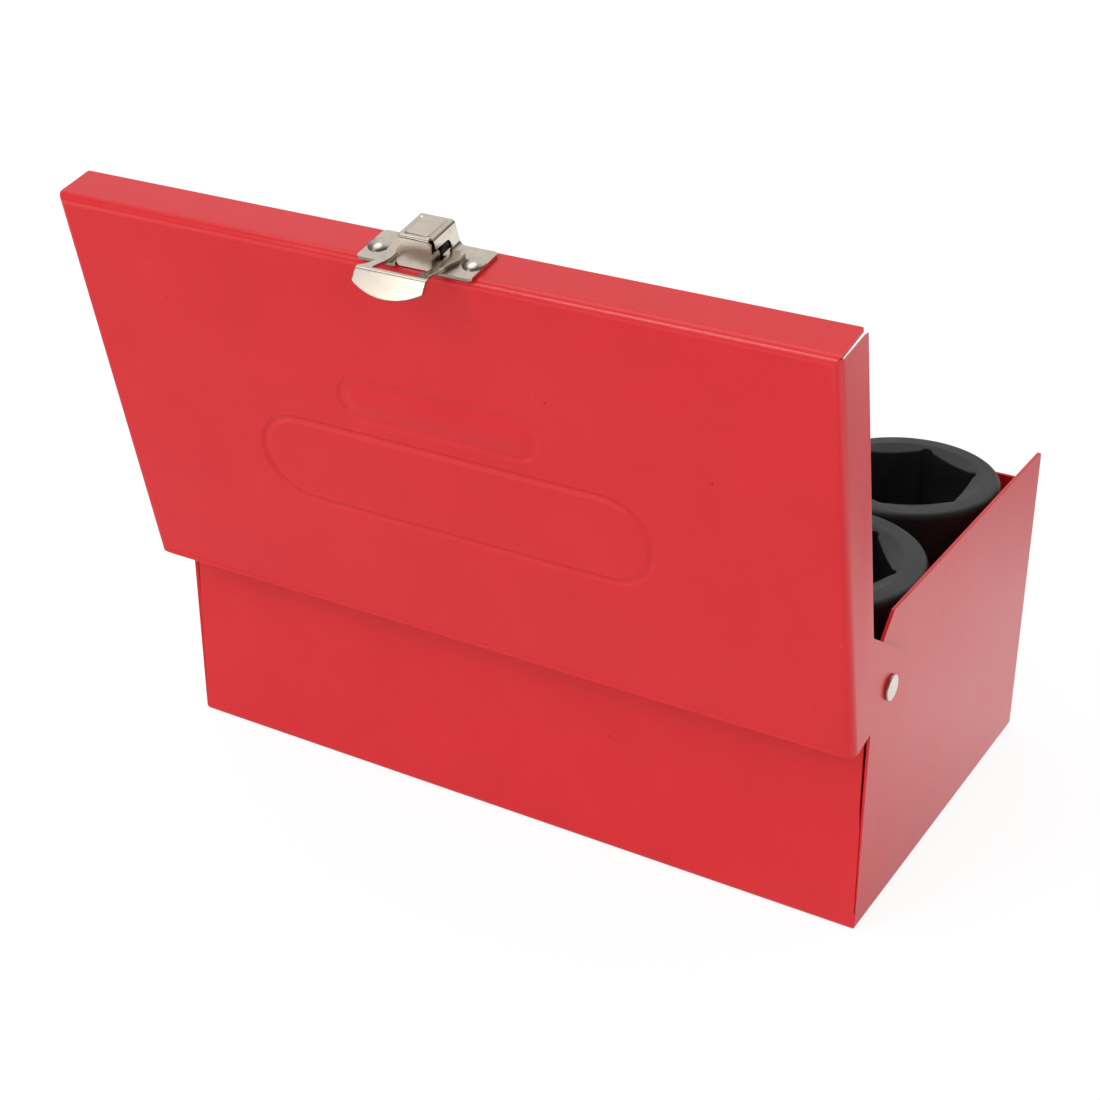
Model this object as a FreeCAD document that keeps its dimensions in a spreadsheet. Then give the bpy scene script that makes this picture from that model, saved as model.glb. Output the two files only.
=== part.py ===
import FreeCAD, Part
import Sketcher
import math
import os
from types import SimpleNamespace

# Driving sizes of the case and its sockets, in millimetres and degrees.
# X runs along the case, -Y is the latch side, +Z is up, and the origin is
# the middle of the bottom.
SIZES = (
    # Base: one folded sheet with tall ends and lower front and back walls
    ("head_room", "3.7"),
    ("wall_step", "10.4"),
    ("sheet", "1"),
    ("bend_radius", "2"),
    ("seam_gap", "0.9"),
    ("seam_foot", "6"),
    ("back_chamfer", "10.3"),
    ("front_round", "1.5"),
    # Hinge rivets
    ("pivot_inset", "7.9"),
    ("pivot_drop", "22.2"),
    ("hinge_pin_dia", "5"),
    ("hinge_head_dia", "7.4"),
    ("hinge_head_high", "1"),
    ("hinge_edge", "0.3"),
    ("running_gap", "0.15"),
    ("hole_gap", "0.1"),
    ("open_angle", "103"),
    # Lid: one folded sheet with a front flange and two eared side flanges
    ("lid_rest_gap", "0.3"),
    ("lid_side_gap", "0.3"),
    ("lid_front_gap", "0.4"),
    ("lid_back_reach", "5.9"),
    ("flange_depth", "13.9"),
    ("flange_slit", "1"),
    ("ear_drop", "12"),
    ("ear_foot", "8.7"),
    ("ear_round", "5"),
    # Pressed panels on the lid
    ("emboss_rise", "0.6"),
    ("large_panel_length", "124"),
    ("large_panel_width", "29"),
    ("large_panel_reach", "46.8"),
    ("small_panel_length", "62"),
    ("small_panel_width", "14"),
    ("small_panel_reach", "72.5"),
    # Latch housing
    ("latch_offset", "1.8"),
    ("latch_sheet", "1"),
    ("foot_edge", "2.95"),
    ("foot_margin", "0.8"),
    ("foot_over", "0.3"),
    ("foot_round", "1.2"),
    ("housing_width", "10.3"),
    ("housing_high", "8"),
    ("housing_setback", "1.4"),
    ("housing_round", "0.9"),
    ("flap_gap", "0.3"),
    ("badge_inset", "1.7"),
    ("badge_rise", "0.25"),
    ("slot_gap", "0.5"),
    ("slot_high", "3.8"),
    ("slot_chamfer", "1.2"),
    # Domed rivets of the latch and the keeper
    ("rivet_clear", "0.65"),
    ("rivet_rise", "6.9"),
    ("rivet_dome_dia", "6.2"),
    ("rivet_dome_high", "1.4"),
    ("rivet_dome_round", "1.25"),
    ("rivet_shank_dia", "3.2"),
    ("rivet_tail_dia", "5.2"),
    ("rivet_tail_high", "0.8"),
    # Latch lever
    ("lever_gap", "0.1"),
    ("lever_width", "20.6"),
    ("lever_window", "12.2"),
    ("lever_rise", "2.1"),
    ("fulcrum_inset", "0.4"),
    ("arm_length", "9.3"),
    ("tab_reach", "6.7"),
    ("tab_drop", "3.6"),
    ("tab_side", "3.1"),
    ("bar_gap", "0.6"),
    ("bar_length", "3.4"),
    ("hook_clear", "0.5"),
    ("hook_high", "1.6"),
    ("hook_nose", "0.6"),
    ("hook_width", "6"),
    ("hook_depth", "5.2"),
    ("notch_gap", "0.7"),
    # Latch spring
    ("leaf_width", "5"),
    ("leaf_sheet", "0.4"),
    ("leaf_foot", "0.8"),
    ("leaf_length", "5"),
    ("leaf_crown", "1.2"),
    # Keeper inside the front wall
    ("keeper_sheet", "1.2"),
    ("keeper_edge", "4"),
    ("keeper_bridge", "2.6"),
    ("keeper_margin", "6.5"),
    ("keeper_round", "2"),
    ("keeper_rivet_spacing", "12"),
    ("keeper_rivet_drop", "10.5"),
    ("window_gap", "0.4"),
    # Deep impact sockets with a square drive
    ("socket_length", "93"),
    ("drive_square", "19.1"),
    ("drive_depth", "26"),
    ("drive_dia", "44"),
    ("drive_end", "34"),
    ("drive_taper", "10"),
    ("drive_edge", "1.2"),
    ("ring_low", "9.5"),
    ("ring_width", "5"),
    ("ring_depth", "1.5"),
    ("pin_hole_dia", "5.2"),
    ("hex_depth", "44"),
    ("hex_corner_round", "1.2"),
    ("bore_step", "1.5"),
    ("mouth_share", "0.805"),
    ("mouth_slope", "0.33"),
    ("rim_round", "1.8"),
    ("wall_clearance", "0.4"),
    ("row_gap", "0.6"),
    ("back_end_gap", "1.1"),
    ("back_far_gap", "2.7"),
    ("back_spacing", "2.4"),
    ("front_end_gap", "2.5"),
    ("front_spacing", "3.9"),
    ("front_middle", "5.35"),
    # Across flats and outside diameter of each socket, and how far it is turned
    ("flats_27", "27"),
    ("outer_27", "43"),
    ("turn_27", "12"),
    ("flats_30", "30"),
    ("outer_30", "46"),
    ("turn_30", "24"),
    ("flats_32", "32"),
    ("outer_32", "48"),
    ("turn_32", "8"),
    ("flats_33", "33"),
    ("outer_33", "50"),
    ("turn_33", "20"),
    ("flats_35", "35"),
    ("outer_35", "54"),
    ("turn_35", "16"),
    ("flats_36", "36"),
    ("outer_36", "56"),
    ("turn_36", "3"),
    ("flats_38", "38"),
    ("outer_38", "60"),
    ("turn_38", "5"),
    ("flats_42", "42"),
    ("outer_42", "65"),
    ("turn_42", "35"),
)
BACK_ROW = ("42", "38", "30", "27")  # from the -X end
FRONT_LEFT = ("35", "36")  # from the middle towards -X
FRONT_RIGHT = ("33", "32")  # from the middle towards +X
OVERCUT = 1.0  # how far a cutting outline runs past the face that it opens
OVERLAP = 0.5  # how far two joined outlines run into each other


class Size:
    """A number together with the sheet formula that gives it."""

    def __init__(self, number, formula):
        self.number = number
        self.formula = formula

    def join(self, sign, other, number):
        return Size(number, f"({self.formula} {sign} {formula(other)})")

    def __add__(self, other):
        return self.join("+", other, self.number + number(other))

    def __sub__(self, other):
        return self.join("-", other, self.number - number(other))

    def __mul__(self, other):
        return self.join("*", other, self.number * number(other))

    def __truediv__(self, other):
        return self.join("/", other, self.number / number(other))

    def __neg__(self):
        return Size(-self.number, f"(0 - {self.formula})")


def number(value):
    return value.number if isinstance(value, Size) else float(value)


def formula(value):
    return value.formula if isinstance(value, Size) else repr(float(value))


def larger(first, second):
    return Size(max(number(first), number(second)), f"max({formula(first)}; {formula(second)})")


doc = FreeCAD.newDocument("SocketCase")
sheet = doc.addObject("Spreadsheet::Sheet", "Sizes")
for row, (alias, text) in enumerate(SIZES, 1):
    sheet.set(f"A{row}", alias)
    sheet.set(f"B{row}", text)
    sheet.setAlias(f"B{row}", alias)
doc.recompute()
d = SimpleNamespace(**{alias: Size(float(sheet.get(alias)), f"Sizes.{alias}") for alias, text in SIZES})


def bind(feature, **values):
    for name, value in values.items():
        feature.setExpression(name, formula(value))


def new_body(label):
    body = doc.addObject("PartDesign::Body", label)
    body.Label = label
    return body


def sketch_on(body, role, offset=0.0):
    """A sketch on one of the body's own planes, moved along the plane's normal."""
    sketch = body.newObject("Sketcher::SketchObject", f"{body.Label}_outline")
    plane = next(item for item in body.Origin.OriginFeatures if item.Role == role)
    sketch.AttachmentSupport = [(plane, "")]
    sketch.MapMode = "FlatFace"
    sketch.setExpression("AttachmentOffset.Base.z", formula(offset))
    return sketch


def pin_point(sketch, curve, end, x, y):
    """Ties a point of a curve to its distances from the sketch's origin."""
    for kind, value, axis in (("DistanceX", x, -2), ("DistanceY", y, -1)):
        if not isinstance(value, Size) and value == 0:
            sketch.addConstraint(Sketcher.Constraint("PointOnObject", curve, end, axis))
            continue
        tie = Sketcher.Constraint(kind, -1, 1, curve, end, number(value))
        index = sketch.addConstraint(tie)
        sketch.setExpression(f"Constraints[{index}]", formula(value))


def polygon(sketch, corners):
    first = sketch.GeometryCount
    points = [FreeCAD.Vector(number(x), number(y), 0) for x, y in corners]
    for start, end in zip(points, points[1:] + points[:1]):
        sketch.addGeometry(Part.LineSegment(start, end))
    for i, (x, y) in enumerate(corners):
        following = first + (i + 1) % len(corners)
        sketch.addConstraint(Sketcher.Constraint("Coincident", first + i, 2, following, 1))
        pin_point(sketch, first + i, 1, x, y)


def rectangle(sketch, left, right, low, high):
    polygon(sketch, [(left, low), (right, low), (right, high), (left, high)])


def circle(sketch, x, y, radius):
    centre = FreeCAD.Vector(number(x), number(y), 0)
    ring = sketch.addGeometry(Part.Circle(centre, FreeCAD.Vector(0, 0, 1), number(radius)))
    pin_point(sketch, ring, 3, x, y)
    index = sketch.addConstraint(Sketcher.Constraint("Radius", ring, number(radius)))
    sketch.setExpression(f"Constraints[{index}]", formula(radius))


def pad(body, sketch, length, reverse=False, middle=False):
    feature = body.newObject("PartDesign::Pad", f"{body.Label}_pad")
    feature.Profile = sketch
    feature.Reversed = reverse
    feature.Midplane = middle
    bind(feature, Length=length)
    doc.recompute()
    return feature


def pocket(body, sketch, length=None, reverse=False):
    """Cuts to a length, or right through both ways where no length is given."""
    before = body.Tip.Shape.Volume
    feature = body.newObject("PartDesign::Pocket", f"{body.Label}_cut")
    feature.Profile = sketch
    if length is None:
        feature.Type = "ThroughAll"
        feature.Midplane = True
    else:
        feature.Reversed = reverse
        bind(feature, Length=length)
    doc.recompute()
    if not feature.Shape.Volume < before:
        raise RuntimeError(f"a cut of {body.Label} removes nothing")
    return feature


def revolve(body, sketch, axis):
    feature = body.newObject("PartDesign::Revolution", f"{body.Label}_turned")
    feature.Profile = sketch
    feature.ReferenceAxis = (sketch, [axis])
    feature.Angle = 360
    doc.recompute()
    return feature


def round_edges(body, radius, wanted):
    """Rounds the edges whose middle and direction the test accepts."""
    base = body.Tip
    names = []
    for i, edge in enumerate(base.Shape.Edges, 1):
        straight = edge.Curve.TypeId == "Part::GeomLine"
        run = edge.tangentAt(edge.FirstParameter) if straight else FreeCAD.Vector()
        if wanted(edge.CenterOfMass, run, edge):
            names.append(f"Edge{i}")
    feature = body.newObject("PartDesign::Fillet", f"{body.Label}_round")
    feature.Base = (base, names)
    bind(feature, Radius=radius)
    doc.recompute()
    return feature


def near(value, target):
    return abs(value - number(target)) < 0.01


def shell(body, thickness, is_open):
    base = body.Tip
    feature = body.newObject("PartDesign::Thickness", f"{body.Label}_sheet")
    faces = [f"Face{i}" for i, face in enumerate(base.Shape.Faces, 1) if is_open(face.CenterOfMass)]
    feature.Base = (base, faces)
    feature.Reversed = True
    feature.Join = "Arc"
    bind(feature, Value=thickness)
    doc.recompute()
    return feature


def width_of(name):
    """The room that a socket takes across: its nose or its drive end."""
    return larger(getattr(d, f"outer_{name}"), d.drive_dia)


def row_length(names, spacing):
    total = width_of(names[0])
    for name in names[1:]:
        total = total + spacing + width_of(name)
    return total


def widest(names):
    most = width_of(names[0])
    for name in names[1:]:
        most = larger(most, width_of(name))
    return most


# The case is made to fit its two rows of sockets.
back_half = (d.back_end_gap + row_length(BACK_ROW, d.back_spacing) + d.back_far_gap) / 2
front_edge = d.front_spacing / 2 + d.front_end_gap
left_half = row_length(FRONT_LEFT, d.front_spacing) + front_edge - d.front_middle
right_half = row_length(FRONT_RIGHT, d.front_spacing) + front_edge + d.front_middle
half_length = larger(back_half, larger(left_half, right_half)) + d.sheet
rows = widest(BACK_ROW) + d.row_gap + widest(FRONT_LEFT + FRONT_RIGHT)
case_depth = rows + d.wall_clearance * 2 + d.sheet * 2
half_depth = case_depth / 2
end_height = d.sheet + d.socket_length + d.head_room
wall_height = end_height - d.wall_step
pivot_y = half_depth - d.pivot_inset
pivot_height = end_height - d.pivot_drop

# Levels and faces of the lid and its latch, which are drawn closed, about the
# hinge axis: there -Y runs to the front and Z is up.
lid_half = half_length + d.lid_side_gap + d.sheet
lid_front = case_depth - d.pivot_inset + d.lid_front_gap + d.sheet
lid_top = d.pivot_drop + d.lid_rest_gap + d.sheet
flange_low = lid_top - d.flange_depth
foot_low = flange_low + d.foot_margin
foot_top = lid_top + d.foot_over
latch_x = -d.latch_offset
rivet_x = d.lever_width / 2 + d.rivet_clear + d.rivet_dome_dia / 2
rivet_level = foot_low + d.rivet_rise
housing_half = d.housing_width / 2
housing_front = foot_top - d.housing_setback
hook_low = d.pivot_drop - d.wall_step + d.hook_clear
hook_top = hook_low + d.hook_high
hook_half = d.hook_width / 2
bar_low = hook_top + d.bar_gap
bar_top = bar_low + d.bar_length
lever_low = d.latch_sheet + d.lever_gap
lever_high = lever_low + d.latch_sheet
fulcrum_level = foot_top - d.fulcrum_inset
tab_level = fulcrum_level + d.arm_length
keeper_top = pivot_height + hook_top + d.window_gap + d.keeper_bridge
keeper_rivet_z = wall_height - d.keeper_rivet_drop


def hang_on_lid(body):
    body.Placement = FreeCAD.Placement(
        FreeCAD.Vector(0, 0, 0), FreeCAD.Rotation(FreeCAD.Vector(1, 0, 0), -number(d.open_angle))
    )
    body.setExpression("Placement.Base.y", formula(pivot_y))
    body.setExpression("Placement.Base.z", formula(pivot_height))
    body.setExpression("Placement.Rotation.Angle", formula(-d.open_angle))


def base_tray():
    body = new_body("base_tray")
    outline = sketch_on(body, "XY_Plane")
    rectangle(outline, -half_length, half_length, -half_depth, half_depth)
    pad(body, outline, end_height)
    round_edges(body, d.bend_radius, lambda middle, run, edge: near(middle.z, 0))
    shell(body, d.sheet, lambda middle: near(middle.z, end_height))
    # Lower front and back walls, with an open seam beside each end wall
    inner = half_length - d.sheet
    wall_end = inner - d.seam_gap
    above = end_height + OVERCUT
    seams = sketch_on(body, "XZ_Plane")
    polygon(seams, [
        (-inner, d.seam_foot), (-wall_end, d.seam_foot),
        (-wall_end, wall_height), (wall_end, wall_height),
        (wall_end, d.seam_foot), (inner, d.seam_foot),
        (inner, above), (-inner, above),
    ])
    pocket(body, seams)
    # Cut-off upper back corner of the end walls
    slope = d.back_chamfer + OVERCUT
    corner = sketch_on(body, "YZ_Plane")
    polygon(corner, [
        (half_depth - slope, above),
        (half_depth + OVERCUT, end_height - slope),
        (half_depth + OVERCUT, above),
    ])
    pocket(body, corner)
    round_edges(body, d.front_round, lambda middle, run, edge: (
        abs(run.x) > 0.9 and near(middle.y, -half_depth) and near(middle.z, end_height)))
    pivot = sketch_on(body, "YZ_Plane")
    circle(pivot, pivot_y, pivot_height, d.hinge_pin_dia / 2 + d.hole_gap)
    pocket(body, pivot)
    holes = sketch_on(body, "XZ_Plane", half_depth)
    for side in (-1, 1):
        circle(holes, latch_x + d.keeper_rivet_spacing / 2 * side, keeper_rivet_z,
               d.rivet_shank_dia / 2 + d.hole_gap)
    pocket(body, holes, d.sheet + OVERCUT)
    return body


def hinge_rivet(label, facing):
    """A flat-headed rivet along X, facing +1 or -1."""
    body = new_body(label)
    inner_face = half_length - d.sheet
    inner_end = inner_face - d.hinge_head_high
    head = lid_half + d.hole_gap
    head_end = head + d.hinge_head_high
    head_radius = d.hinge_head_dia / 2
    pin_radius = d.hinge_pin_dia / 2
    profile = sketch_on(body, "XZ_Plane")
    polygon(profile, [
        (inner_end, 0), (inner_end, head_radius), (inner_face, head_radius),
        (inner_face, pin_radius), (head, pin_radius), (head, head_radius),
        (head_end - d.hinge_edge, head_radius), (head_end, head_radius - d.hinge_edge),
        (head_end, 0),
    ])
    revolve(body, profile, "H_Axis")
    turn = 0 if facing > 0 else 180
    body.Placement = FreeCAD.Placement(
        FreeCAD.Vector(0, 0, 0), FreeCAD.Rotation(FreeCAD.Vector(0, 0, 1), turn)
    )
    body.setExpression("Placement.Base.y", formula(pivot_y))
    body.setExpression("Placement.Base.z", formula(pivot_height))
    return body


def domed_rivet(label, x, z, seat, grip):
    """A rivet along Y: its dome stands on the seat, on the -Y side."""
    body = new_body(label)
    dome = sketch_on(body, "XZ_Plane", seat)
    circle(dome, x, z, d.rivet_dome_dia / 2)
    pad(body, dome, d.rivet_dome_high)
    round_edges(body, d.rivet_dome_round, lambda middle, run, edge: (
        near(middle.y, -(seat + d.rivet_dome_high))))
    shank = sketch_on(body, "XZ_Plane", seat)
    circle(shank, x, z, d.rivet_shank_dia / 2)
    pad(body, shank, grip + d.rivet_tail_high, reverse=True)
    tail = sketch_on(body, "XZ_Plane", seat - grip)
    circle(tail, x, z, d.rivet_tail_dia / 2)
    pad(body, tail, d.rivet_tail_high, reverse=True)
    return body


def catch_plate():
    body = new_body("catch_plate")
    low = keeper_rivet_z - d.keeper_margin
    half = d.keeper_rivet_spacing / 2 + d.keeper_edge
    plate = sketch_on(body, "XZ_Plane", half_depth - d.sheet)
    rectangle(plate, latch_x - half, latch_x + half, low, keeper_top)
    opening = hook_half + d.window_gap
    window_low = pivot_height + hook_low - d.window_gap
    rectangle(plate, latch_x - opening, latch_x + opening, window_low, keeper_top - d.keeper_bridge)
    for side in (-1, 1):
        circle(plate, latch_x + d.keeper_rivet_spacing / 2 * side, keeper_rivet_z,
               d.rivet_shank_dia / 2 + d.hole_gap)
    pad(body, plate, d.keeper_sheet, reverse=True)
    round_edges(body, d.keeper_round, lambda middle, run, edge: (
        abs(run.y) > 0.9 and near(abs(middle.x - number(latch_x)), half)))
    return body


def stadium(sketch, centre_y, length, width, inset=0.0):
    """A round-ended outline along X, drawn about X 0."""
    radius = width / 2 - inset
    reach = (length - width) / 2
    up = FreeCAD.Vector(0, 0, 1)
    arcs = []
    for side, start in ((1, -math.pi / 2), (-1, math.pi / 2)):
        middle = FreeCAD.Vector(side * number(reach), number(centre_y), 0)
        ring = Part.Circle(middle, up, number(radius))
        arcs.append(sketch.addGeometry(Part.ArcOfCircle(ring, start, start + math.pi)))
        pin_point(sketch, arcs[-1], 3, reach * side, centre_y)
    top = number(centre_y) + number(radius)
    low = number(centre_y) - number(radius)
    for y, side in ((top, 1), (low, -1)):
        start = FreeCAD.Vector(side * number(reach), y, 0)
        sketch.addGeometry(Part.LineSegment(start, FreeCAD.Vector(-start.x, y, 0)))
    ends = ((arcs[0], 2, 2, 1), (2, 2, arcs[1], 1), (arcs[1], 2, 3, 1), (3, 2, arcs[0], 1))
    for first, first_end, second, second_end in ends:
        sketch.addConstraint(Sketcher.Constraint("Tangent", first, first_end, second, second_end))
    index = sketch.addConstraint(Sketcher.Constraint("Radius", arcs[0], number(radius)))
    sketch.setExpression(f"Constraints[{index}]", formula(radius))


def lid_shell():
    body = new_body("lid_shell")
    outline = sketch_on(body, "XY_Plane", flange_low)
    rectangle(outline, -lid_half, lid_half, -lid_front, d.lid_back_reach)
    pad(body, outline, d.flange_depth)
    round_edges(body, d.bend_radius, lambda middle, run, edge: (
        near(middle.z, lid_top) and not near(middle.y, d.lid_back_reach)))
    shell(body, d.sheet, lambda middle: (
        near(middle.z, flange_low) or near(middle.y, d.lid_back_reach)))
    # Hinge ears that carry on the side flanges, with a 45 degree front slope
    tip = d.ear_foot - d.lid_back_reach
    ear_start = tip + flange_low + d.ear_drop
    for offset in (-lid_half, lid_half - d.sheet):
        ear = sketch_on(body, "YZ_Plane", offset)
        polygon(ear, [
            (d.lid_back_reach, flange_low + OVERLAP), (d.lid_back_reach, -d.ear_drop),
            (-tip, -d.ear_drop), (-ear_start, flange_low),
            (-ear_start, flange_low + OVERLAP),
        ])
        circle(ear, 0, 0, d.hinge_pin_dia / 2 + d.running_gap)
        pad(body, ear, d.sheet)
    round_edges(body, d.ear_round, lambda middle, run, edge: (
        abs(run.x) > 0.9 and near(middle.z, -d.ear_drop)))
    # Open slits beside the front flange, and the notch that the hook works in
    slits = sketch_on(body, "XY_Plane", flange_low)
    for side in (-1, 1):
        outer = (lid_half - d.sheet) * side
        inner = (lid_half - d.sheet - d.flange_slit) * side
        rectangle(slits, inner, outer, -lid_front - OVERCUT, -lid_front + d.bend_radius)
    pocket(body, slits, d.flange_depth - d.bend_radius, reverse=True)
    notch = sketch_on(body, "XY_Plane", flange_low)
    notch_half = hook_half + d.notch_gap
    rectangle(notch, latch_x - notch_half, latch_x + notch_half,
              -lid_front - OVERCUT, -lid_front + d.sheet + OVERCUT)
    pocket(body, notch, hook_top + d.notch_gap - flange_low, reverse=True)
    holes = sketch_on(body, "XZ_Plane", lid_front)
    for side in (-1, 1):
        circle(holes, latch_x + rivet_x * side, rivet_level,
               d.rivet_shank_dia / 2 + d.hole_gap)
    pocket(body, holes, d.sheet + OVERCUT)
    # Pressed panels: raised outside, sunk inside
    panels = (
        (d.large_panel_reach, d.large_panel_length, d.large_panel_width),
        (d.small_panel_reach, d.small_panel_length, d.small_panel_width),
    )
    for reach, length, width in panels:
        raised = sketch_on(body, "XY_Plane", lid_top - OVERLAP)
        stadium(raised, -reach, length, width)
        pad(body, raised, d.emboss_rise + OVERLAP)
        sunk = sketch_on(body, "XY_Plane", lid_top - d.sheet)
        stadium(sunk, -reach, length, width, d.sheet)
        pocket(body, sunk, d.emboss_rise, reverse=True)
    hang_on_lid(body)
    return body


def out(height):
    """The Y of a point that stands this high on the lid's front flange."""
    return -(lid_front + height)


def latch_housing():
    body = new_body("latch_housing")
    foot_half = rivet_x + d.foot_edge
    wall = housing_half - d.latch_sheet
    ceiling = d.housing_high - d.latch_sheet
    hat = sketch_on(body, "XY_Plane", foot_low)
    polygon(hat, [(latch_x + x, out(y)) for x, y in (
        (-foot_half, 0), (-wall, 0), (-wall, ceiling), (wall, ceiling), (wall, 0), (foot_half, 0),
        (foot_half, d.latch_sheet), (housing_half, d.latch_sheet),
        (housing_half, d.housing_high), (-housing_half, d.housing_high),
        (-housing_half, d.latch_sheet), (-foot_half, d.latch_sheet),
    )])
    pad(body, hat, foot_top - foot_low)
    step = sketch_on(body, "XY_Plane", foot_top)
    rectangle(step, latch_x - housing_half, latch_x + housing_half,
              out(d.housing_high + OVERCUT), out(d.latch_sheet))
    pocket(body, step, d.housing_setback)
    flap = sketch_on(body, "XY_Plane", housing_front - d.latch_sheet)
    rectangle(flap, latch_x - housing_half, latch_x + housing_half, out(d.housing_high), out(d.flap_gap))
    pad(body, flap, d.latch_sheet)
    # Arched slots in both side walls, which the lever's bar rocks in
    slot_top = d.latch_sheet + d.slot_high
    shoulder = slot_top - d.slot_chamfer
    slot_low = bar_low - d.slot_gap
    slot_end = bar_top + d.slot_gap
    slots = sketch_on(body, "YZ_Plane")
    polygon(slots, [
        (out(d.latch_sheet), slot_low), (out(shoulder), slot_low),
        (out(slot_top), slot_low + d.slot_chamfer), (out(slot_top), slot_end - d.slot_chamfer),
        (out(shoulder), slot_end), (out(d.latch_sheet), slot_end),
    ])
    pocket(body, slots)
    holes = sketch_on(body, "XZ_Plane", lid_front + d.latch_sheet)
    for side in (-1, 1):
        circle(holes, latch_x + rivet_x * side, rivet_level,
               d.rivet_shank_dia / 2 + d.hole_gap)
    pocket(body, holes, d.latch_sheet)
    round_edges(body, d.foot_round, lambda middle, run, edge: (
        abs(run.y) > 0.9 and near(abs(middle.x - number(latch_x)), foot_half)))
    round_edges(body, d.housing_round, lambda middle, run, edge: (
        near(middle.y, out(d.housing_high)) and not near(middle.z, foot_low)))
    badge = sketch_on(body, "XZ_Plane", lid_front + d.housing_high - OVERLAP)
    badge_half = housing_half - d.badge_inset
    rectangle(badge, latch_x - badge_half, latch_x + badge_half,
              foot_low + d.badge_inset, housing_front - d.badge_inset)
    pad(body, badge, d.badge_rise + OVERLAP)
    hang_on_lid(body)
    return body


def latch_lever():
    body = new_body("latch_lever")
    arm = lever_low + d.lever_rise
    tab_end = tab_level + d.tab_reach
    tip = lever_low - d.hook_depth
    side_view = sketch_on(body, "YZ_Plane", latch_x)
    polygon(side_view, [(out(y), z) for y, z in (
        (lever_low, hook_top), (tip, hook_top), (tip, hook_top - d.hook_nose),
        (lever_low, hook_low), (lever_high, hook_low), (lever_high, fulcrum_level),
        (arm + d.latch_sheet, tab_level), (arm + d.latch_sheet - d.tab_drop, tab_end),
        (arm - d.tab_drop, tab_end), (arm, tab_level), (lever_low, fulcrum_level),
    )])
    pad(body, side_view, d.lever_width, middle=True)
    lever_half = d.lever_width / 2
    window_half = d.lever_window / 2
    plan = sketch_on(body, "XZ_Plane")
    rectangle(plan, latch_x - window_half, latch_x + window_half, bar_top, tab_level)
    below = hook_low - OVERCUT
    beside = lever_half + OVERCUT
    rectangle(plan, latch_x - beside, latch_x - hook_half, below, bar_low)
    rectangle(plan, latch_x + hook_half, latch_x + beside, below, bar_low)
    pocket(body, plan)
    # Rounded end of the thumb tab: an arc from side to side
    side_end = tab_level + d.tab_side
    bulge = tab_end - side_end
    radius = (lever_half * lever_half / bulge + bulge) / 2
    ends = [FreeCAD.Vector(number(latch_x) + number(lever_half) * side, number(side_end), 0) for side in (-1, 1)]
    apex = FreeCAD.Vector(number(latch_x), number(tab_end), 0)
    tab = sketch_on(body, "XZ_Plane")
    arc = tab.addGeometry(Part.Arc(ends[0], apex, ends[1]))
    corners = [
        (latch_x + lever_half, side_end), (latch_x + beside, side_end),
        (latch_x + beside, tab_end + OVERCUT), (latch_x - beside, tab_end + OVERCUT),
        (latch_x - beside, side_end), (latch_x - lever_half, side_end),
    ]
    points = [FreeCAD.Vector(number(x), number(y), 0) for x, y in corners]
    lines = [tab.addGeometry(Part.LineSegment(start, end)) for start, end in zip(points, points[1:])]
    for line, following in zip(lines, lines[1:]):
        tab.addConstraint(Sketcher.Constraint("Coincident", line, 2, following, 1))
    for line, (x, y) in zip(lines, corners):
        pin_point(tab, line, 1, x, y)
    pin_point(tab, lines[-1], 2, *corners[-1])
    arc_starts_left = tab.getPoint(arc, 1).x < number(latch_x)
    left_end, right_end = (1, 2) if arc_starts_left else (2, 1)
    tab.addConstraint(Sketcher.Constraint("Coincident", arc, right_end, lines[0], 1))
    tab.addConstraint(Sketcher.Constraint("Coincident", arc, left_end, lines[-1], 2))
    index = tab.addConstraint(Sketcher.Constraint("Radius", arc, number(radius)))
    tab.setExpression(f"Constraints[{index}]", formula(radius))
    pocket(body, tab)
    hang_on_lid(body)
    return body


def latch_spring():
    body = new_body("latch_spring")
    low = lever_high + d.lever_gap
    high = d.housing_high - d.latch_sheet
    middle = bar_top - d.leaf_length / 2
    start = middle - d.leaf_length / 2
    end = middle + d.leaf_length / 2
    crown = d.leaf_crown / 2
    inner = crown - d.leaf_sheet / 2
    bow = sketch_on(body, "YZ_Plane", latch_x)
    polygon(bow, [(out(y), z) for y, z in (
        (low, start), (low + d.leaf_sheet, start), (low + d.leaf_sheet, start + d.leaf_foot),
        (high, middle - crown), (high, middle + crown),
        (low + d.leaf_sheet, end - d.leaf_foot), (low + d.leaf_sheet, end),
        (low, end), (low, end - d.leaf_foot - d.leaf_sheet),
        (high - d.leaf_sheet, middle + inner), (high - d.leaf_sheet, middle - inner),
        (low, start + d.leaf_foot + d.leaf_sheet),
    )])
    pad(body, bow, d.leaf_width, middle=True)
    hang_on_lid(body)
    return body


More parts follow.
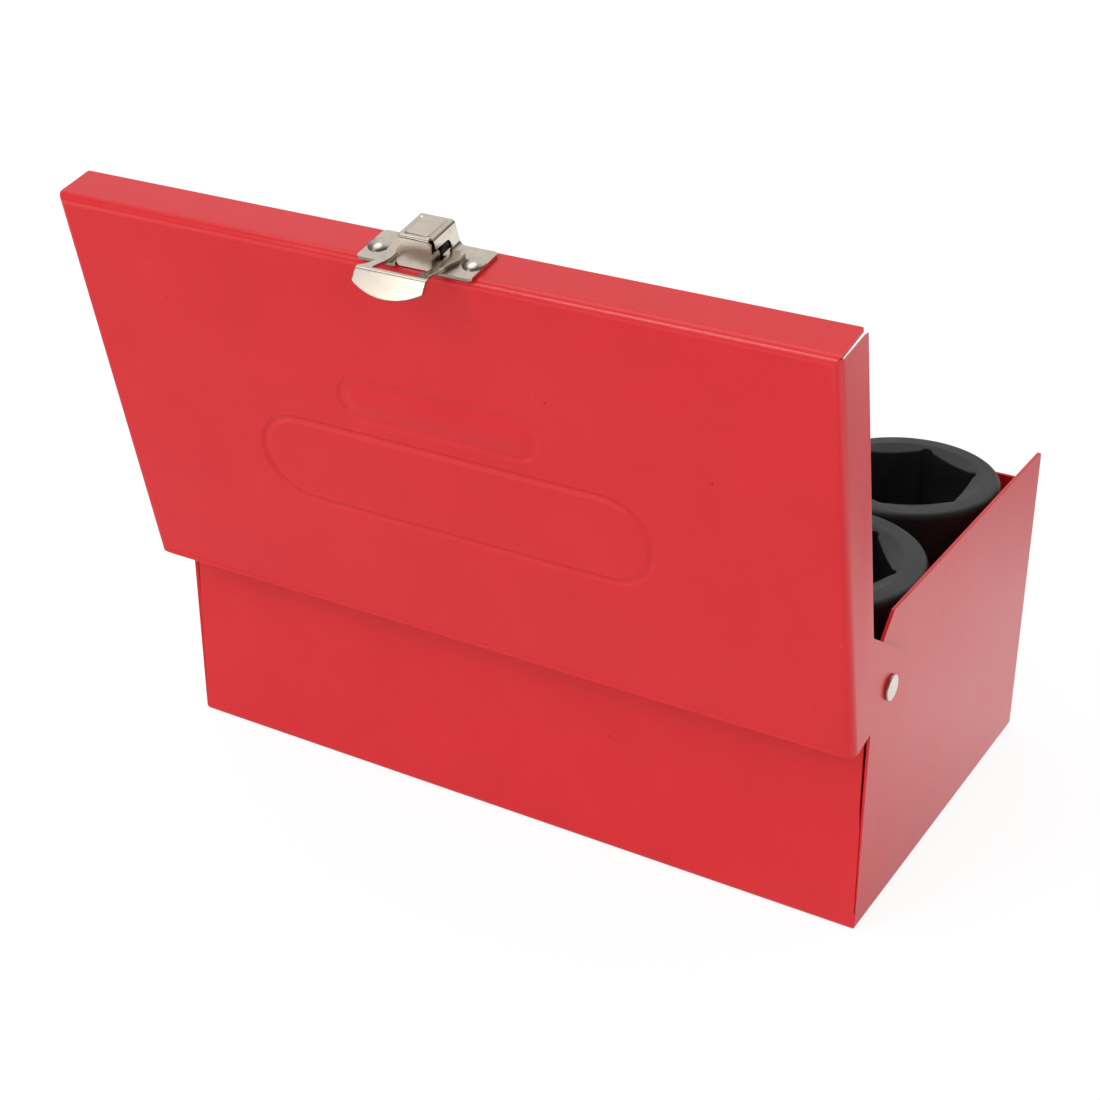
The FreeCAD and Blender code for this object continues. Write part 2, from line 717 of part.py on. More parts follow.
def socket(name, x, y):
    """A deep socket, hexagon up, standing on the case's floor."""
    body = new_body(f"socket_{name}")
    flats = getattr(d, f"flats_{name}")
    outer = getattr(d, f"outer_{name}") / 2
    drive = d.drive_dia / 2
    mouth = outer * d.mouth_share
    ring_floor = drive - d.ring_depth
    ring_top = d.ring_low + d.ring_width
    profile = sketch_on(body, "XZ_Plane")
    polygon(profile, [
        (0, 0), (drive - d.drive_edge, 0), (drive, d.drive_edge),
        (drive, d.ring_low), (ring_floor, d.ring_low), (ring_floor, ring_top), (drive, ring_top),
        (drive, d.drive_end), (outer, d.drive_end + d.drive_taper), (outer, d.socket_length),
        (mouth, d.socket_length), (0, d.socket_length - mouth * d.mouth_slope),
    ])
    revolve(body, profile, "V_Axis")
    round_edges(body, d.rim_round, lambda middle, run, edge: (
        near(middle.z, d.socket_length) and near(edge.Curve.Radius, outer)))
    corner = flats / math.sqrt(3)
    hexagon = sketch_on(body, "XY_Plane", d.socket_length)
    polygon(hexagon, [
        (0, -corner), (flats / 2, -corner / 2), (flats / 2, corner / 2),
        (0, corner), (-flats / 2, corner / 2), (-flats / 2, -corner / 2),
    ])
    pocket(body, hexagon, d.hex_depth)
    round_edges(body, d.hex_corner_round, lambda middle, run, edge: (
        abs(run.z) > 0.9 and near(math.hypot(middle.x, middle.y), corner)))
    bore = sketch_on(body, "XY_Plane", d.socket_length)
    circle(bore, 0, 0, flats / 2 - d.bore_step)
    pocket(body, bore, d.socket_length - d.drive_depth)
    half = d.drive_square / 2
    square = sketch_on(body, "XY_Plane")
    rectangle(square, -half, half, -half, half)
    pocket(body, square, d.drive_depth + OVERLAP, reverse=True)
    pin_hole = sketch_on(body, "XZ_Plane")
    circle(pin_hole, 0, d.ring_low + d.ring_width / 2, d.pin_hole_dia / 2)
    pocket(body, pin_hole)
    turn = getattr(d, f"turn_{name}")
    body.Placement = FreeCAD.Placement(
        FreeCAD.Vector(0, 0, 0), FreeCAD.Rotation(FreeCAD.Vector(0, 0, 1), number(turn))
    )
    body.setExpression("Placement.Base.x", formula(x))
    body.setExpression("Placement.Base.y", formula(y))
    body.setExpression("Placement.Base.z", formula(d.sheet))
    return body


def socket_row(names, start, spacing, side, way):
    """Stands sockets side by side along one wall, from a start towards +X or -X."""
    made = []
    edge = start
    for name in names:
        width = width_of(name)
        reach = half_depth - d.sheet - d.wall_clearance - width / 2
        made.append(socket(name, edge + width / 2 * way, reach * side))
        edge = edge + (width + spacing) * way
    return made


pieces = [base_tray(), hinge_rivet("hinge_rivet_left", -1), hinge_rivet("hinge_rivet_right", 1), catch_plate()]
for side_name, side in (("left", -1), ("right", 1)):
    keeper_x = latch_x + d.keeper_rivet_spacing / 2 * side
    pieces.append(domed_rivet(f"catch_rivet_{side_name}", keeper_x, keeper_rivet_z,
                              half_depth, d.sheet + d.keeper_sheet))
    latch_rivet = domed_rivet(f"latch_rivet_{side_name}", latch_x + rivet_x * side, rivet_level,
                              lid_front + d.latch_sheet, d.latch_sheet + d.sheet)
    hang_on_lid(latch_rivet)
    pieces.append(latch_rivet)
pieces += [lid_shell(), latch_housing(), latch_lever(), latch_spring()]
half_space = d.front_spacing / 2
pieces += socket_row(BACK_ROW, d.sheet - half_length + d.back_end_gap, d.back_spacing, 1, 1)
pieces += socket_row(FRONT_LEFT, d.front_middle - half_space, d.front_spacing, -1, -1)
pieces += socket_row(FRONT_RIGHT, d.front_middle + half_space, d.front_spacing, -1, 1)
doc.recompute()

for item in doc.Objects:
    if "Invalid" in item.State or "Error" in item.State:
        raise RuntimeError(f"{item.Label} failed: {item.State}")
for piece in pieces:
    if piece.Shape.isNull() or not piece.Shape.isValid():
        raise RuntimeError(f"{piece.Label} has no valid solid")
os.makedirs("parts", exist_ok=True)
for piece in pieces:
    piece.Shape.exportStep(f"parts/{piece.Label}.step")
    print(piece.Label, len(piece.Shape.Solids), round(piece.Shape.Volume, 1))
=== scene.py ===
import bpy, bmesh, math
from mathutils import Matrix, Vector


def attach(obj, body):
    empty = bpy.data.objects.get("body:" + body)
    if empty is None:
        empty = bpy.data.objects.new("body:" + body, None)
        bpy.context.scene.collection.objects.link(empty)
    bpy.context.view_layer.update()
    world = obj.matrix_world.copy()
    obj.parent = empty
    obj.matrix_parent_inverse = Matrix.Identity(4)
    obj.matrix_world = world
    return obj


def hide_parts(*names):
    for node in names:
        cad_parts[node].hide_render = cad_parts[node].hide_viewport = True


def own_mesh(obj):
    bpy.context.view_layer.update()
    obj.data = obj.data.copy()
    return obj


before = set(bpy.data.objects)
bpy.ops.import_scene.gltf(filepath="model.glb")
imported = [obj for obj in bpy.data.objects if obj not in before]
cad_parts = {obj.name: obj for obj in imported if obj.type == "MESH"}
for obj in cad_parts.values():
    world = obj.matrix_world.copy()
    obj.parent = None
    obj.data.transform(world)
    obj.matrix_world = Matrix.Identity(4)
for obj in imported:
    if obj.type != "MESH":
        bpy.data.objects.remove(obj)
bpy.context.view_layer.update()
mm = 0.001
scene = bpy.context.scene
scene.view_settings.view_transform = "Standard"
print("frame loaded,", len(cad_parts), "nodes")


# camera, at the photograph's place and angle

photoView = {
    "location": (-280.060, 504.192, 360.159),   # mm
    "right": (-0.85853, -0.51276, 0.0),
    "up": (0.23610, -0.39531, 0.88769),
    "back": (-0.45517, 0.76211, 0.46045),
    "lens": 68.39, "sensor": 36.0,
    "clip": (0.01, 50),   # m
}

lensData = bpy.data.cameras.new("photoCamera")
lensData.lens = photoView["lens"]
lensData.sensor_width = photoView["sensor"]
lensData.clip_start, lensData.clip_end = photoView["clip"]
camera = bpy.data.objects.new("photoCamera", lensData)
turn = Matrix([photoView["right"], photoView["up"], photoView["back"]]).transposed().to_4x4()
camera.matrix_world = Matrix.Translation(Vector(photoView["location"]) * mm) @ turn
scene.collection.objects.link(camera)
scene.camera = camera
print("camera set")


# materials

mixA, mixB, mixed = 6, 7, 2   # a mix node's sockets for two colours and their mixture
valueA, valueB = 2, 3         # and for two plain values


def linearColour(hexText):
    values = [int(hexText[i:i + 2], 16) / 255 for i in (1, 3, 5)]
    return tuple(v / 12.92 if v <= 0.04045 else ((v + 0.055) / 1.055) ** 2.4 for v in values) + (1.0,)


def addNode(tree, kind, inputs=None, **settings):
    node = tree.nodes.new("ShaderNode" + kind)
    for name, value in settings.items():
        setattr(node, name, value)
    for socket, value in (inputs or {}).items():
        if isinstance(value, bpy.types.NodeSocket):
            tree.links.new(value, node.inputs[socket])
        else:
            node.inputs[socket].default_value = value
    return node


def startMaterial(name, inputs):
    material = bpy.data.materials.new(name)
    material.use_nodes = True
    tree = material.node_tree
    shader = next(n for n in tree.nodes if n.type == "BSDF_PRINCIPLED")
    for socket, value in inputs.items():
        shader.inputs[socket].default_value = value
    place = addNode(tree, "TexCoord").outputs["Object"]
    return material, tree, shader, place


# a pattern's scale from the real size of its grain in mm
def grainScale(size):
    return 1 / (size * mm)


# soft patches in a material's shade and gloss
def addPatches(tree, shader, place, look):
    patches = addNode(tree, "TexNoise", {
        "Vector": place, "Scale": grainScale(look["patchSize"]),
        "Detail": look["patchDetail"], "Roughness": look["patchRoughness"]})
    shade = addNode(tree, "ValToRGB", {"Fac": patches.outputs["Fac"]})
    for stop, position, tone in zip(shade.color_ramp.elements, look["shadeRamp"], look["colours"]):
        stop.position = position
        stop.color = linearColour(tone)
    tree.links.new(shade.outputs["Color"], shader.inputs["Base Color"])
    (low, high), (first, last) = look["glossRange"], look["roughness"]
    gloss = addNode(tree, "MapRange", {
        "Value": patches.outputs["Fac"], "From Min": low, "From Max": high,
        "To Min": first, "To Max": last})
    tree.links.new(gloss.outputs[0], shader.inputs["Roughness"])
    return patches, shade


# Baked enamel sprayed on steel sheet: an even semi-gloss red whose gloss breaks up in a fine
# orange peel, over slow upright waves in the sheet, with a few dark pits and pale dust flecks.
enamel = {
    "colours": ("#CB1E26", "#D7242B"), "shadeRamp": (0.15, 0.85),   # thin and full coat
    "pitColour": "#6A1418", "dustColour": "#E8A8A4",
    "ior": 1.5, "roughness": (0.20, 0.31), "glossRange": (0.1, 0.9),
    "patchSize": 30.0, "patchDetail": 8.0, "patchRoughness": 0.7,   # sizes and depths in mm
    "waveSize": 22.0, "waveHeight": 60.0, "waveDepth": 0.5, "waveStrength": 0.25,
    "peelSize": 1.4, "peelDepth": 0.08, "peelStrength": 0.5,
    "speckSpacing": 9.0, "speckWidth": 0.6, "speckShare": 0.10, "dustShare": 0.3,
}


def bakedEnamel(name):
    material, tree, shader, place = startMaterial(name, {"IOR": enamel["ior"]})
    shade = addPatches(tree, shader, place, enamel)[1]
    # pits and flecks: in a share of the cells, a dot at the cell's point
    spacing = enamel["speckSpacing"]
    dot = enamel["speckWidth"] / 2 / spacing
    cells = addNode(tree, "TexVoronoi", {"Vector": place, "Scale": grainScale(spacing)})
    near = addNode(tree, "Math", {0: cells.outputs["Distance"], 1: dot}, operation="LESS_THAN")
    chance = addNode(tree, "SeparateColor", {"Color": cells.outputs["Color"]})
    kept = addNode(tree, "Math", {0: chance.outputs["Red"], 1: enamel["speckShare"]}, operation="LESS_THAN")
    specks = addNode(tree, "Math", {0: near.outputs[0], 1: kept.outputs[0]}, operation="MULTIPLY")
    pale = addNode(tree, "Math", {0: chance.outputs["Green"], 1: enamel["dustShare"]}, operation="LESS_THAN")
    pit, dust = linearColour(enamel["pitColour"]), linearColour(enamel["dustColour"])
    speckColour = addNode(tree, "Mix", {"Factor": pale.outputs[0], mixA: pit, mixB: dust}, data_type="RGBA")
    paint = addNode(tree, "Mix", {
        "Factor": specks.outputs[0], mixA: shade.outputs["Color"], mixB: speckColour.outputs[mixed]},
        data_type="RGBA")
    tree.links.new(paint.outputs[mixed], shader.inputs["Base Color"])
    wide, tall = grainScale(enamel["waveSize"]), grainScale(enamel["waveHeight"])
    upright = addNode(tree, "Mapping", {"Vector": place, "Scale": (wide, wide, tall)})
    waves = addNode(tree, "TexNoise", {"Vector": upright.outputs[0], "Scale": 1.0, "Detail": 2.0})
    peel = addNode(tree, "TexNoise", {
        "Vector": place, "Scale": grainScale(enamel["peelSize"]), "Detail": 1.0})
    slow = addNode(tree, "Bump", {
        "Height": waves.outputs["Fac"], "Strength": enamel["waveStrength"],
        "Distance": enamel["waveDepth"] * mm})
    fine = addNode(tree, "Bump", {
        "Height": peel.outputs["Fac"], "Strength": enamel["peelStrength"],
        "Distance": enamel["peelDepth"] * mm, "Normal": slow.outputs[0]})
    tree.links.new(fine.outputs[0], shader.inputs["Normal"])
    return material


# Bright nickel plate on pressed steel: warm silver with soft reflections, fine draw lines from
# the press and dull patches. The rivets are whiter and the spring is blued to a dark grey. The
# lever's root inside the housing is coloured dark and dull as painted shade.
pressed = {
    "patchSize": 6.0, "patchDetail": 4.0, "patchRoughness": 0.65,   # sizes and depths in mm
    "shadeRamp": (0.30, 0.60), "glossRange": (0.3, 0.7),
    "lineSpacing": 0.5, "lineLength": 16.7, "lineDepth": 0.05, "lineStrength": 0.04,
}
steelTones = {   # dull and bright patches
    "nickelPlatedSteel": {"colours": ("#D0C5B6", "#DED3C4"), "roughness": (0.25, 0.17)},
    "nickelPlatedRivet": {"colours": ("#C8C1B6", "#D6CFC5"), "roughness": (0.26, 0.18)},
    "bluedSpringSteel": {"colours": ("#2C2E33", "#3F4248"), "roughness": (0.45, 0.3)},
    # painted shade: the lever's root inside the housing is coloured dark and dull
    "paintedShadeRootSteel": {"colours": ("#221F1D", "#2E2B28"), "roughness": (0.6, 0.45)},
}


def pressedSteel(name):
    material, tree, shader, place = startMaterial(name, {"Metallic": 1.0})
    addPatches(tree, shader, place, {**pressed, **steelTones[name]})
    # press lines run up the lid, so the pattern is long in y and z and short in x
    across, along = grainScale(pressed["lineSpacing"]), grainScale(pressed["lineLength"])
    drawn = addNode(tree, "Mapping", {"Vector": place, "Scale": (across, along, along)})
    lines = addNode(tree, "TexNoise", {"Vector": drawn.outputs[0], "Scale": 1.0, "Detail": 2.0})
    bump = addNode(tree, "Bump", {
        "Height": lines.outputs["Fac"], "Strength": pressed["lineStrength"],
        "Distance": pressed["lineDepth"] * mm})
    tree.links.new(bump.outputs[0], shader.inputs["Normal"])
    return material


# Phosphated and oiled chrome-molybdenum steel: dull charcoal with a fine crystal speckle and
# soft oily patches; the speckle is drawn coarser than the real crystals so that it shows.
phosphate = {
    "colours": ("#131314", "#1E1E1F"), "shadeRamp": (0.55, 0.9), "ior": 1.5,
    "roughness": (0.38, 0.52), "glossRange": (0.3, 0.7),
    "patchSize": 11.0, "patchDetail": 4.0, "patchRoughness": 0.6,   # sizes and depths in mm
    "speckleSize": 0.5, "speckleDetail": 2.0, "speckleRoughness": 0.7, "speckleShare": 0.45,
    "grainDepth": 0.05, "grainStrength": 0.25,
}


def blackPhosphate(name):
    material, tree, shader, place = startMaterial(name, {"IOR": phosphate["ior"]})
    patches, shade = addPatches(tree, shader, place, phosphate)
    speckle = addNode(tree, "TexNoise", {
        "Vector": place, "Scale": grainScale(phosphate["speckleSize"]),
        "Detail": phosphate["speckleDetail"], "Roughness": phosphate["speckleRoughness"]})
    both = addNode(tree, "Math", {
        0: speckle.outputs["Fac"], 1: phosphate["speckleShare"], 2: patches.outputs["Fac"]},
        operation="MULTIPLY_ADD")
    tree.links.new(both.outputs[0], shade.inputs["Fac"])
    bump = addNode(tree, "Bump", {
        "Height": both.outputs[0], "Strength": phosphate["grainStrength"],
        "Distance": phosphate["grainDepth"] * mm})
    tree.links.new(bump.outputs[0], shader.inputs["Normal"])
    return material


redEnamel = bakedEnamel("bakedRedEnamel")
platedSteel, rivetSteel, springSteel, shadedRootSteel = [pressedSteel(name) for name in steelTones]
socketSteel = blackPhosphate("blackPhosphateSteel")
print("materials made")


# mesh helpers; shapes are drawn in mm

bendSteps = 6
edgeBevel = {"segments": 2, "leastAngle": 50.0}   # degrees


def ease(t):
    return t * t * (3 - 2 * t)


def bendAngles(steps=bendSteps):
    return [math.pi / 2 * k / steps for k in range(steps + 1)]


# an outline with each corner rounded by its own radius
def roundCorners(points, radii, steps=5):
    rounded = []
    for i, radius in enumerate(radii):
        corner = Vector(points[i])
        if not radius:
            rounded.append(corner)
            continue
        toBefore = (Vector(points[i - 1]) - corner).normalized()
        toAfter = (Vector(points[(i + 1) % len(points)]) - corner).normalized()
        half = toBefore.angle(toAfter) / 2
        centre = corner + (toBefore + toAfter).normalized() * radius / math.sin(half)
        start = corner + toBefore * radius / math.tan(half) - centre
        end = corner + toAfter * radius / math.tan(half) - centre
        sweep = start.angle(end)
        for k in range(steps + 1):
            a, b = sweep * (1 - k / steps), sweep * k / steps
            rounded.append(centre + (start * math.sin(a) + end * math.sin(b)) / math.sin(sweep))
    return rounded


# a skin is a mesh with a dictionary of its vertices by place, so that faces share them
def sharedVertex(skin, point):
    bm, seen = skin
    key = tuple(round(c, 3) for c in point)
    if key not in seen:
        seen[key] = bm.verts.new(point)
    return seen[key]


def patch(skin, points):
    corners = dict.fromkeys(sharedVertex(skin, point) for point in points)
    skin[0].faces.new(list(corners))


# strips of faces from each row of points to the next
def bands(skin, rows, closed=False):
    for row, following in zip(rows, rows[1:]):
        for i in range(len(row) if closed else len(row) - 1):
            j = (i + 1) % len(row)
            patch(skin, [row[i], row[j], following[j], following[i]])


def loopEdges(skin, points):
    bm = skin[0]
    ring = [sharedVertex(skin, point) for point in points]
    return [bm.edges.get((a, b)) or bm.edges.new((a, b)) for a, b in zip(ring, ring[1:] + ring[:1])]


def fillBetween(skin, *loops):
    edges = [edge for loop in loops for edge in loopEdges(skin, loop)]
    bmesh.ops.triangle_fill(skin[0], use_beauty=True, use_dissolve=False, edges=edges)


# one piece of sheet from its outer skin: it thickens inwards, and cut edges get a small round
def foldedSheet(name, skin, outward, thickness, edgeRound, place=Matrix.Identity(4)):
    bm = skin[0]
    bm.faces.ensure_lookup_table()
    bmesh.ops.recalc_face_normals(bm, faces=bm.faces)
    bm.normal_update()
    if bm.faces[0].normal.dot(Vector(outward)) < 0:
        bmesh.ops.reverse_faces(bm, faces=bm.faces)
    return finishMesh(name, bm, place, thickness, edgeRound)


# one solid piece from its closed skin
def solidPiece(name, skin, place=Matrix.Identity(4), edgeRound=0.0):
    bmesh.ops.recalc_face_normals(skin[0], faces=skin[0].faces)
    return finishMesh(name, skin[0], place, 0.0, edgeRound)


def finishMesh(name, bm, place=Matrix.Identity(4), thickness=0.0, edgeRound=0.0):
    bm.transform(place @ Matrix.Scale(mm, 4))
    for face in bm.faces:
        face.smooth = True
    mesh = bpy.data.meshes.new(name)
    bm.to_mesh(mesh)
    bm.free()
    piece = bpy.data.objects.new(name, mesh)
    scene.collection.objects.link(piece)
    if thickness:
        solid = piece.modifiers.new("sheet", "SOLIDIFY")
        solid.solidify_mode = "NON_MANIFOLD"
        solid.nonmanifold_thickness_mode = "CONSTRAINTS"
        solid.thickness, solid.offset = thickness * mm, -1
    if edgeRound:
        soft = piece.modifiers.new("edges", "BEVEL")
        soft.width, soft.segments = edgeRound * mm, edgeBevel["segments"]
        soft.limit_method, soft.angle_limit = "ANGLE", math.radians(edgeBevel["leastAngle"])
    return settle(piece)


# evens the normals out and makes the modifiers' result the piece's own mesh
def settle(piece):
    even = piece.modifiers.new("normals", "WEIGHTED_NORMAL")
    even.keep_sharp = True
    shaped = bpy.data.meshes.new_from_object(piece.evaluated_get(bpy.context.evaluated_depsgraph_get()))
    piece.modifiers.clear()
    piece.data = shaped
    return piece


def dress(piece, material, body, slotName, *nodes):
    piece.data.materials.clear()
    piece.data.materials.append(material)
    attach(piece, body)
    if nodes:
        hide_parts(*nodes)
    return piece


# base tray: one folded sheet, open at the top, with seam slits up the corners

tray = {
    "halfLength": 114.0, "halfDepth": 62.2, "endHeight": 97.1, "wallHeight": 87.3,
    "sheet": 1.0, "bend": 2.0, "edge": 0.22,
    "chamfer": 10.3, "chamferRound": 1.0, "frontRound": 1.5, "wallRound": 1.2,
    "slitLow": 6.0,   # the slits: edge of the wall beside each corner, from its top down
    "slitRight": [(112.0, 87.3), (112.7, 40.0), (113.2, 33.0), (113.5, 6.0)],
    "slitLeft": [(111.3, 87.3), (112.3, 55.0), (113.1, 22.0), (113.5, 6.0)],
}


def baseTray():
    skin = (bmesh.new(), {})
    bend, halfX, halfY = tray["bend"], tray["halfLength"], tray["halfDepth"]
    x1, y1 = halfX - bend, halfY - bend
    patch(skin, [(-x1, -y1, 0), (-x1, y1, 0), (x1, y1, 0), (x1, -y1, 0)])
    low, high, chamfer = tray["slitLow"], tray["endHeight"], tray["chamfer"]
    rows = []
    for t in bendAngles():
        out = bend * math.sin(t)
        rows.append((x1 + out, y1 + out, bend * (1 - math.cos(t))))
    for side in (-1, 1):
        bands(skin, [[(side * x, -y, z), (side * x, y, z)] for x, y, z in rows])
        bands(skin, [[(-x, side * y, z), (x, side * y, z)] for x, y, z in rows])
        end = roundCorners(
            [(-halfY, bend), (halfY, bend), (halfY, low), (halfY, high - chamfer), (halfY - chamfer, high),
             (-halfY, high), (-halfY, low)],
            [0, 0, 0, tray["chamferRound"], tray["chamferRound"], tray["frontRound"], 0], steps=4)
        patch(skin, [(side * halfX, y, z) for y, z in end])
        wall = [(-halfX, bend), (halfX, bend), (halfX, low)] + tray["slitLeft"][::-1]
        wall += [(-x, z) for x, z in tray["slitRight"]] + [(-halfX, low)]
        radii = [tray["wallRound"] if z == tray["wallHeight"] else 0 for x, z in wall]
        patch(skin, [(x, side * halfY, z) for x, z in roundCorners(wall, radii, steps=4)])
    return foldedSheet("folded_tray", skin, (0, 0, -1), tray["sheet"], tray["edge"])


dress(baseTray(), redEnamel, "case", "case_paint", "base_tray")
print("tray folded")


# lid: one folded sheet with embossed panel, drawn flat and swung open about the hinge

lid = {
    "pivot": (54.3, 75.5), "open": 103.0,
    "halfWidth": 115.3, "front": 117.9, "top": 23.5, "flangeLow": 9.4, "back": 5.9,
    "bend": 2.8, "sheet": 1.0, "edge": 0.34,
    # open corners: end of the front flange, front and foot of the side flange
    "endGap": 0.2, "sideBack": (1.4, 2.1), "sideLow": (7.7, 9.2), "cornerRound": 0.6,
    "cutClear": 0.3, "cutReach": 0.75,   # the stretch at the side flange's end that is cut back inside
    "earTip": 2.8, "earDrop": 12.0, "earStart": 24.4, "earRound": 5.0, "earFoot": 2.0,
    "notchHalf": 3.7, "notchTop": 14.6, "notchRound": 0.8, "latchX": -1.8,
    # bead of paint along the back edge: width and height, and the part of a half wave that it follows
    "bead": (1.6, 0.5), "beadWave": 0.93, "beadSteps": 6, "beadFade": 3.0,
    # fields: length, width, place up the lid, then inset and height across the groove around each
    "emboss": [
        (124.0, 29.0, 46.8, [(-0.7, 0.0), (0.7, -0.52), (2.6, 0.1)]),
        (62.0, 14.0, 72.5, [(-0.7, 0.0), (0.7, -0.52), (5.5, 0.1)]),
    ],
    "embossSteps": 8,
}
hingeAxis = Matrix.Translation(Vector((0, *lid["pivot"])) * mm)
lidPlace = hingeAxis @ Matrix.Rotation(-math.radians(lid["open"]), 4, "X")


def obround(length, width, inset, steps=18):
    radius, reach = width / 2 - inset, (length - width) / 2
    points = []
    for side, start in ((1, -90), (-1, 90)):
        for k in range(steps + 1):
            a = math.radians(start + 180 * k / steps)
            points.append((side * reach + radius * math.cos(a), radius * math.sin(a)))
    return points


# both fields with their grooves; returns the outlines that the panel leaves open
def embossedFields(skin):
    steps = lid["embossSteps"]
    holes = []
    for length, width, along, stops in lid["emboss"]:
        profile = stops[:1]
        for (insetA, heightA), (insetB, heightB) in zip(stops, stops[1:]):
            for k in range(1, steps + 1):
                t = k / steps
                profile.append((insetA + (insetB - insetA) * t, heightA + (heightB - heightA) * ease(t)))
        rings = []
        for inset, height in profile:
            rings.append([(x, y - along, lid["top"] + height) for x, y in obround(length, width, inset)])
        patch(skin, rings[-1])
        bands(skin, rings, closed=True)
        holes.append(rings[0])
    return holes


def backBead(skin):
    (wide, high), steps = lid["bead"], lid["beadSteps"]
    top, outer = lid["top"], lid["halfWidth"] - lid["bend"]
    inner = outer - lid["beadFade"]
    rows = []
    for k in range(steps + 1):
        y = lid["back"] - wide * (1 - k / steps)
        up = top + high * math.sin(lid["beadWave"] * math.pi * k / steps)
        rows.append([(-outer, y, top), (-inner, y, up), (inner, y, up), (outer, y, top)])
    bands(skin, rows)
    return rows


# bends at the front and the sides, which part from half way round at the front corners
def lidBends(skin, bead):
    bend, top, back = lid["bend"], lid["top"], lid["back"]
    x1, s1, half = lid["halfWidth"] - bend, lid["front"] - bend, bendSteps / 2
    rows = []
    for k, t in enumerate(bendAngles()):
        out, up, parted = bend * math.sin(t), top - bend + bend * math.cos(t), max(0.0, (k - half) / half)
        end, sideEnd = x1 + out - lid["endGap"] * parted, s1 + out - lid["sideBack"][0] * parted
        rows.append((end, s1 + out, x1 + out, sideEnd, up))
    for (endA, frontA, wideA, sideA, upA), (endB, frontB, wideB, sideB, upB) in zip(rows, rows[1:]):
        patch(skin, [(-endA, -frontA, upA), (endA, -frontA, upA),
                     (endB, -frontB, upB), (-endB, -frontB, upB)])
        for side in (-1, 1):
            backEnd = [(side * wideA, back, upA)]
            if upA == top:
                backEnd = [(side * wideA, row[0][1], upA) for row in bead[::-1]]
            patch(skin, backEnd + [(side * wideA, -sideA, upA), (side * wideB, -sideB, upB),
                                   (side * wideB, back, upB)])


# front flange with the latch's notch, and side flanges that end in the hinge ears
def lidFlanges(skin):
    halfX, front, back, bendEnd = lid["halfWidth"], lid["front"], lid["back"], lid["top"] - lid["bend"]
    low, high, end, corner = lid["flangeLow"], lid["notchTop"], halfX - lid["endGap"], lid["cornerRound"]
    left, right = lid["latchX"] - lid["notchHalf"], lid["latchX"] + lid["notchHalf"]
    flange = roundCorners(
        [(-end, bendEnd), (end, bendEnd), (end, low), (right, low), (right, high), (left, high), (left, low),
         (-end, low)],
        [0, 0, corner, 0, lid["notchRound"], lid["notchRound"], 0, corner], steps=4)
    patch(skin, [(x, -front, z) for x, z in flange])
    (backHigh, backLow), (lowFront, lowEar) = lid["sideBack"], lid["sideLow"]
    ear = roundCorners(
        [(back, bendEnd), (backHigh - front, bendEnd), (backLow - front, lowFront),
         (-lid["earStart"], lowEar), (-lid["earTip"], -lid["earDrop"]), (back, -lid["earDrop"])],
        [0, 0, corner, lid["earFoot"], lid["earRound"], lid["earRound"]], steps=6)
    for side in (-1, 1):
        patch(skin, [(side * halfX, y, z) for y, z in ear])


# the shears leave each side flange's front end cut back on its inner face
def undercutEnds(piece):
    toLid = lidPlace.inverted()
    (backHigh, backLow), lowFront, bendEnd = lid["sideBack"], lid["sideLow"][0], lid["top"] - lid["bend"]
    for vertex in piece.data.vertices:
        x, y, z = toLid @ vertex.co / mm
        inward, fromFront = lid["halfWidth"] - abs(x), y + lid["front"]
        end = backHigh + (backLow - backHigh) * max(0.0, bendEnd - z) / (bendEnd - lowFront)
        atEnd = lid["sheet"] + lid["cutClear"] < fromFront < end + lid["cutReach"]
        if atEnd and inward < lid["bend"]:
            cut = min(inward, lid["sheet"]) * min(1.0, (lid["top"] - z) / lid["bend"])
            vertex.co = lidPlace @ (Vector((x, y + cut, z)) * mm)


def lidShell():
    skin = (bmesh.new(), {})
    x1, s1, top = lid["halfWidth"] - lid["bend"], lid["front"] - lid["bend"], lid["top"]
    holes = embossedFields(skin)
    bead = backBead(skin)
    fillBetween(skin, [(-x1, -s1, top), (x1, -s1, top)] + bead[0][::-1], *holes)
    lidBends(skin, bead)
    lidFlanges(skin)
    piece = foldedSheet("folded_lid", skin, (0, 0, 1), lid["sheet"], lid["edge"], lidPlace)
    undercutEnds(piece)
    return piece


dress(lidShell(), redEnamel, "lid", "case_paint", "lid_shell")
print("lid folded")


# latch housing: pressed hat with two riveted feet, a front flap and its folded returns

latch = {
    "footHalf": 17.0, "footLow": 10.4, "footHigh": 23.8, "footTop": 1.0, "footRound": 1.2, "footFlare": 1.6,
    "footInner": 5.4, "innerRound": 0.6, "innerStart": 0.6,   # the foot's edge below the slot
    "boxHalf": 5.15, "boxFoot": 5.95, "boxTop": 8.0, "boxFront": 21.6, "topRound": 1.0,
    "slotLow": 14.0, "slotTop": 4.9, "slotRound": 1.4, "slotLip": 0.4, "wallEnd": 20.2,
    "flapLow": 0.4, "flapHalf": 4.9, "flapLean": 13.0, "flapCorner": 0.5,
    "flapNeck": [(0.12, 0.35), (0.0, 0.8)],   # inset and drop below the bend
    "returnTop": 4.5, "returnLow": 0.9, "returnEnd": 18.8, "returnBend": 0.45, "returnRounds": (0.5, 0.9),
    # groove and raised rectangle of the top: inset and height
    "badge": [(1.0, 0.0), (1.14, -0.05), (1.3, -0.2), (1.46, -0.2), (1.62, -0.05), (1.8, 0.12), (2.0, 0.2)],
    "badgeOut": 0.9, "badgeRound": 0.7,
    "sheet": 0.8, "edge": 0.16,
}


# x from the latch's middle, rise out of the front flange, and n along the closed lid's height
def onLatch(x, rise, n):
    return Vector((lid["latchX"] + x, -(lid["front"] + rise), n))


# n of a point on the leaning flap
def leaned(n, rise, flapTop):
    return n + (flapTop - rise) * math.tan(math.radians(latch["flapLean"]))


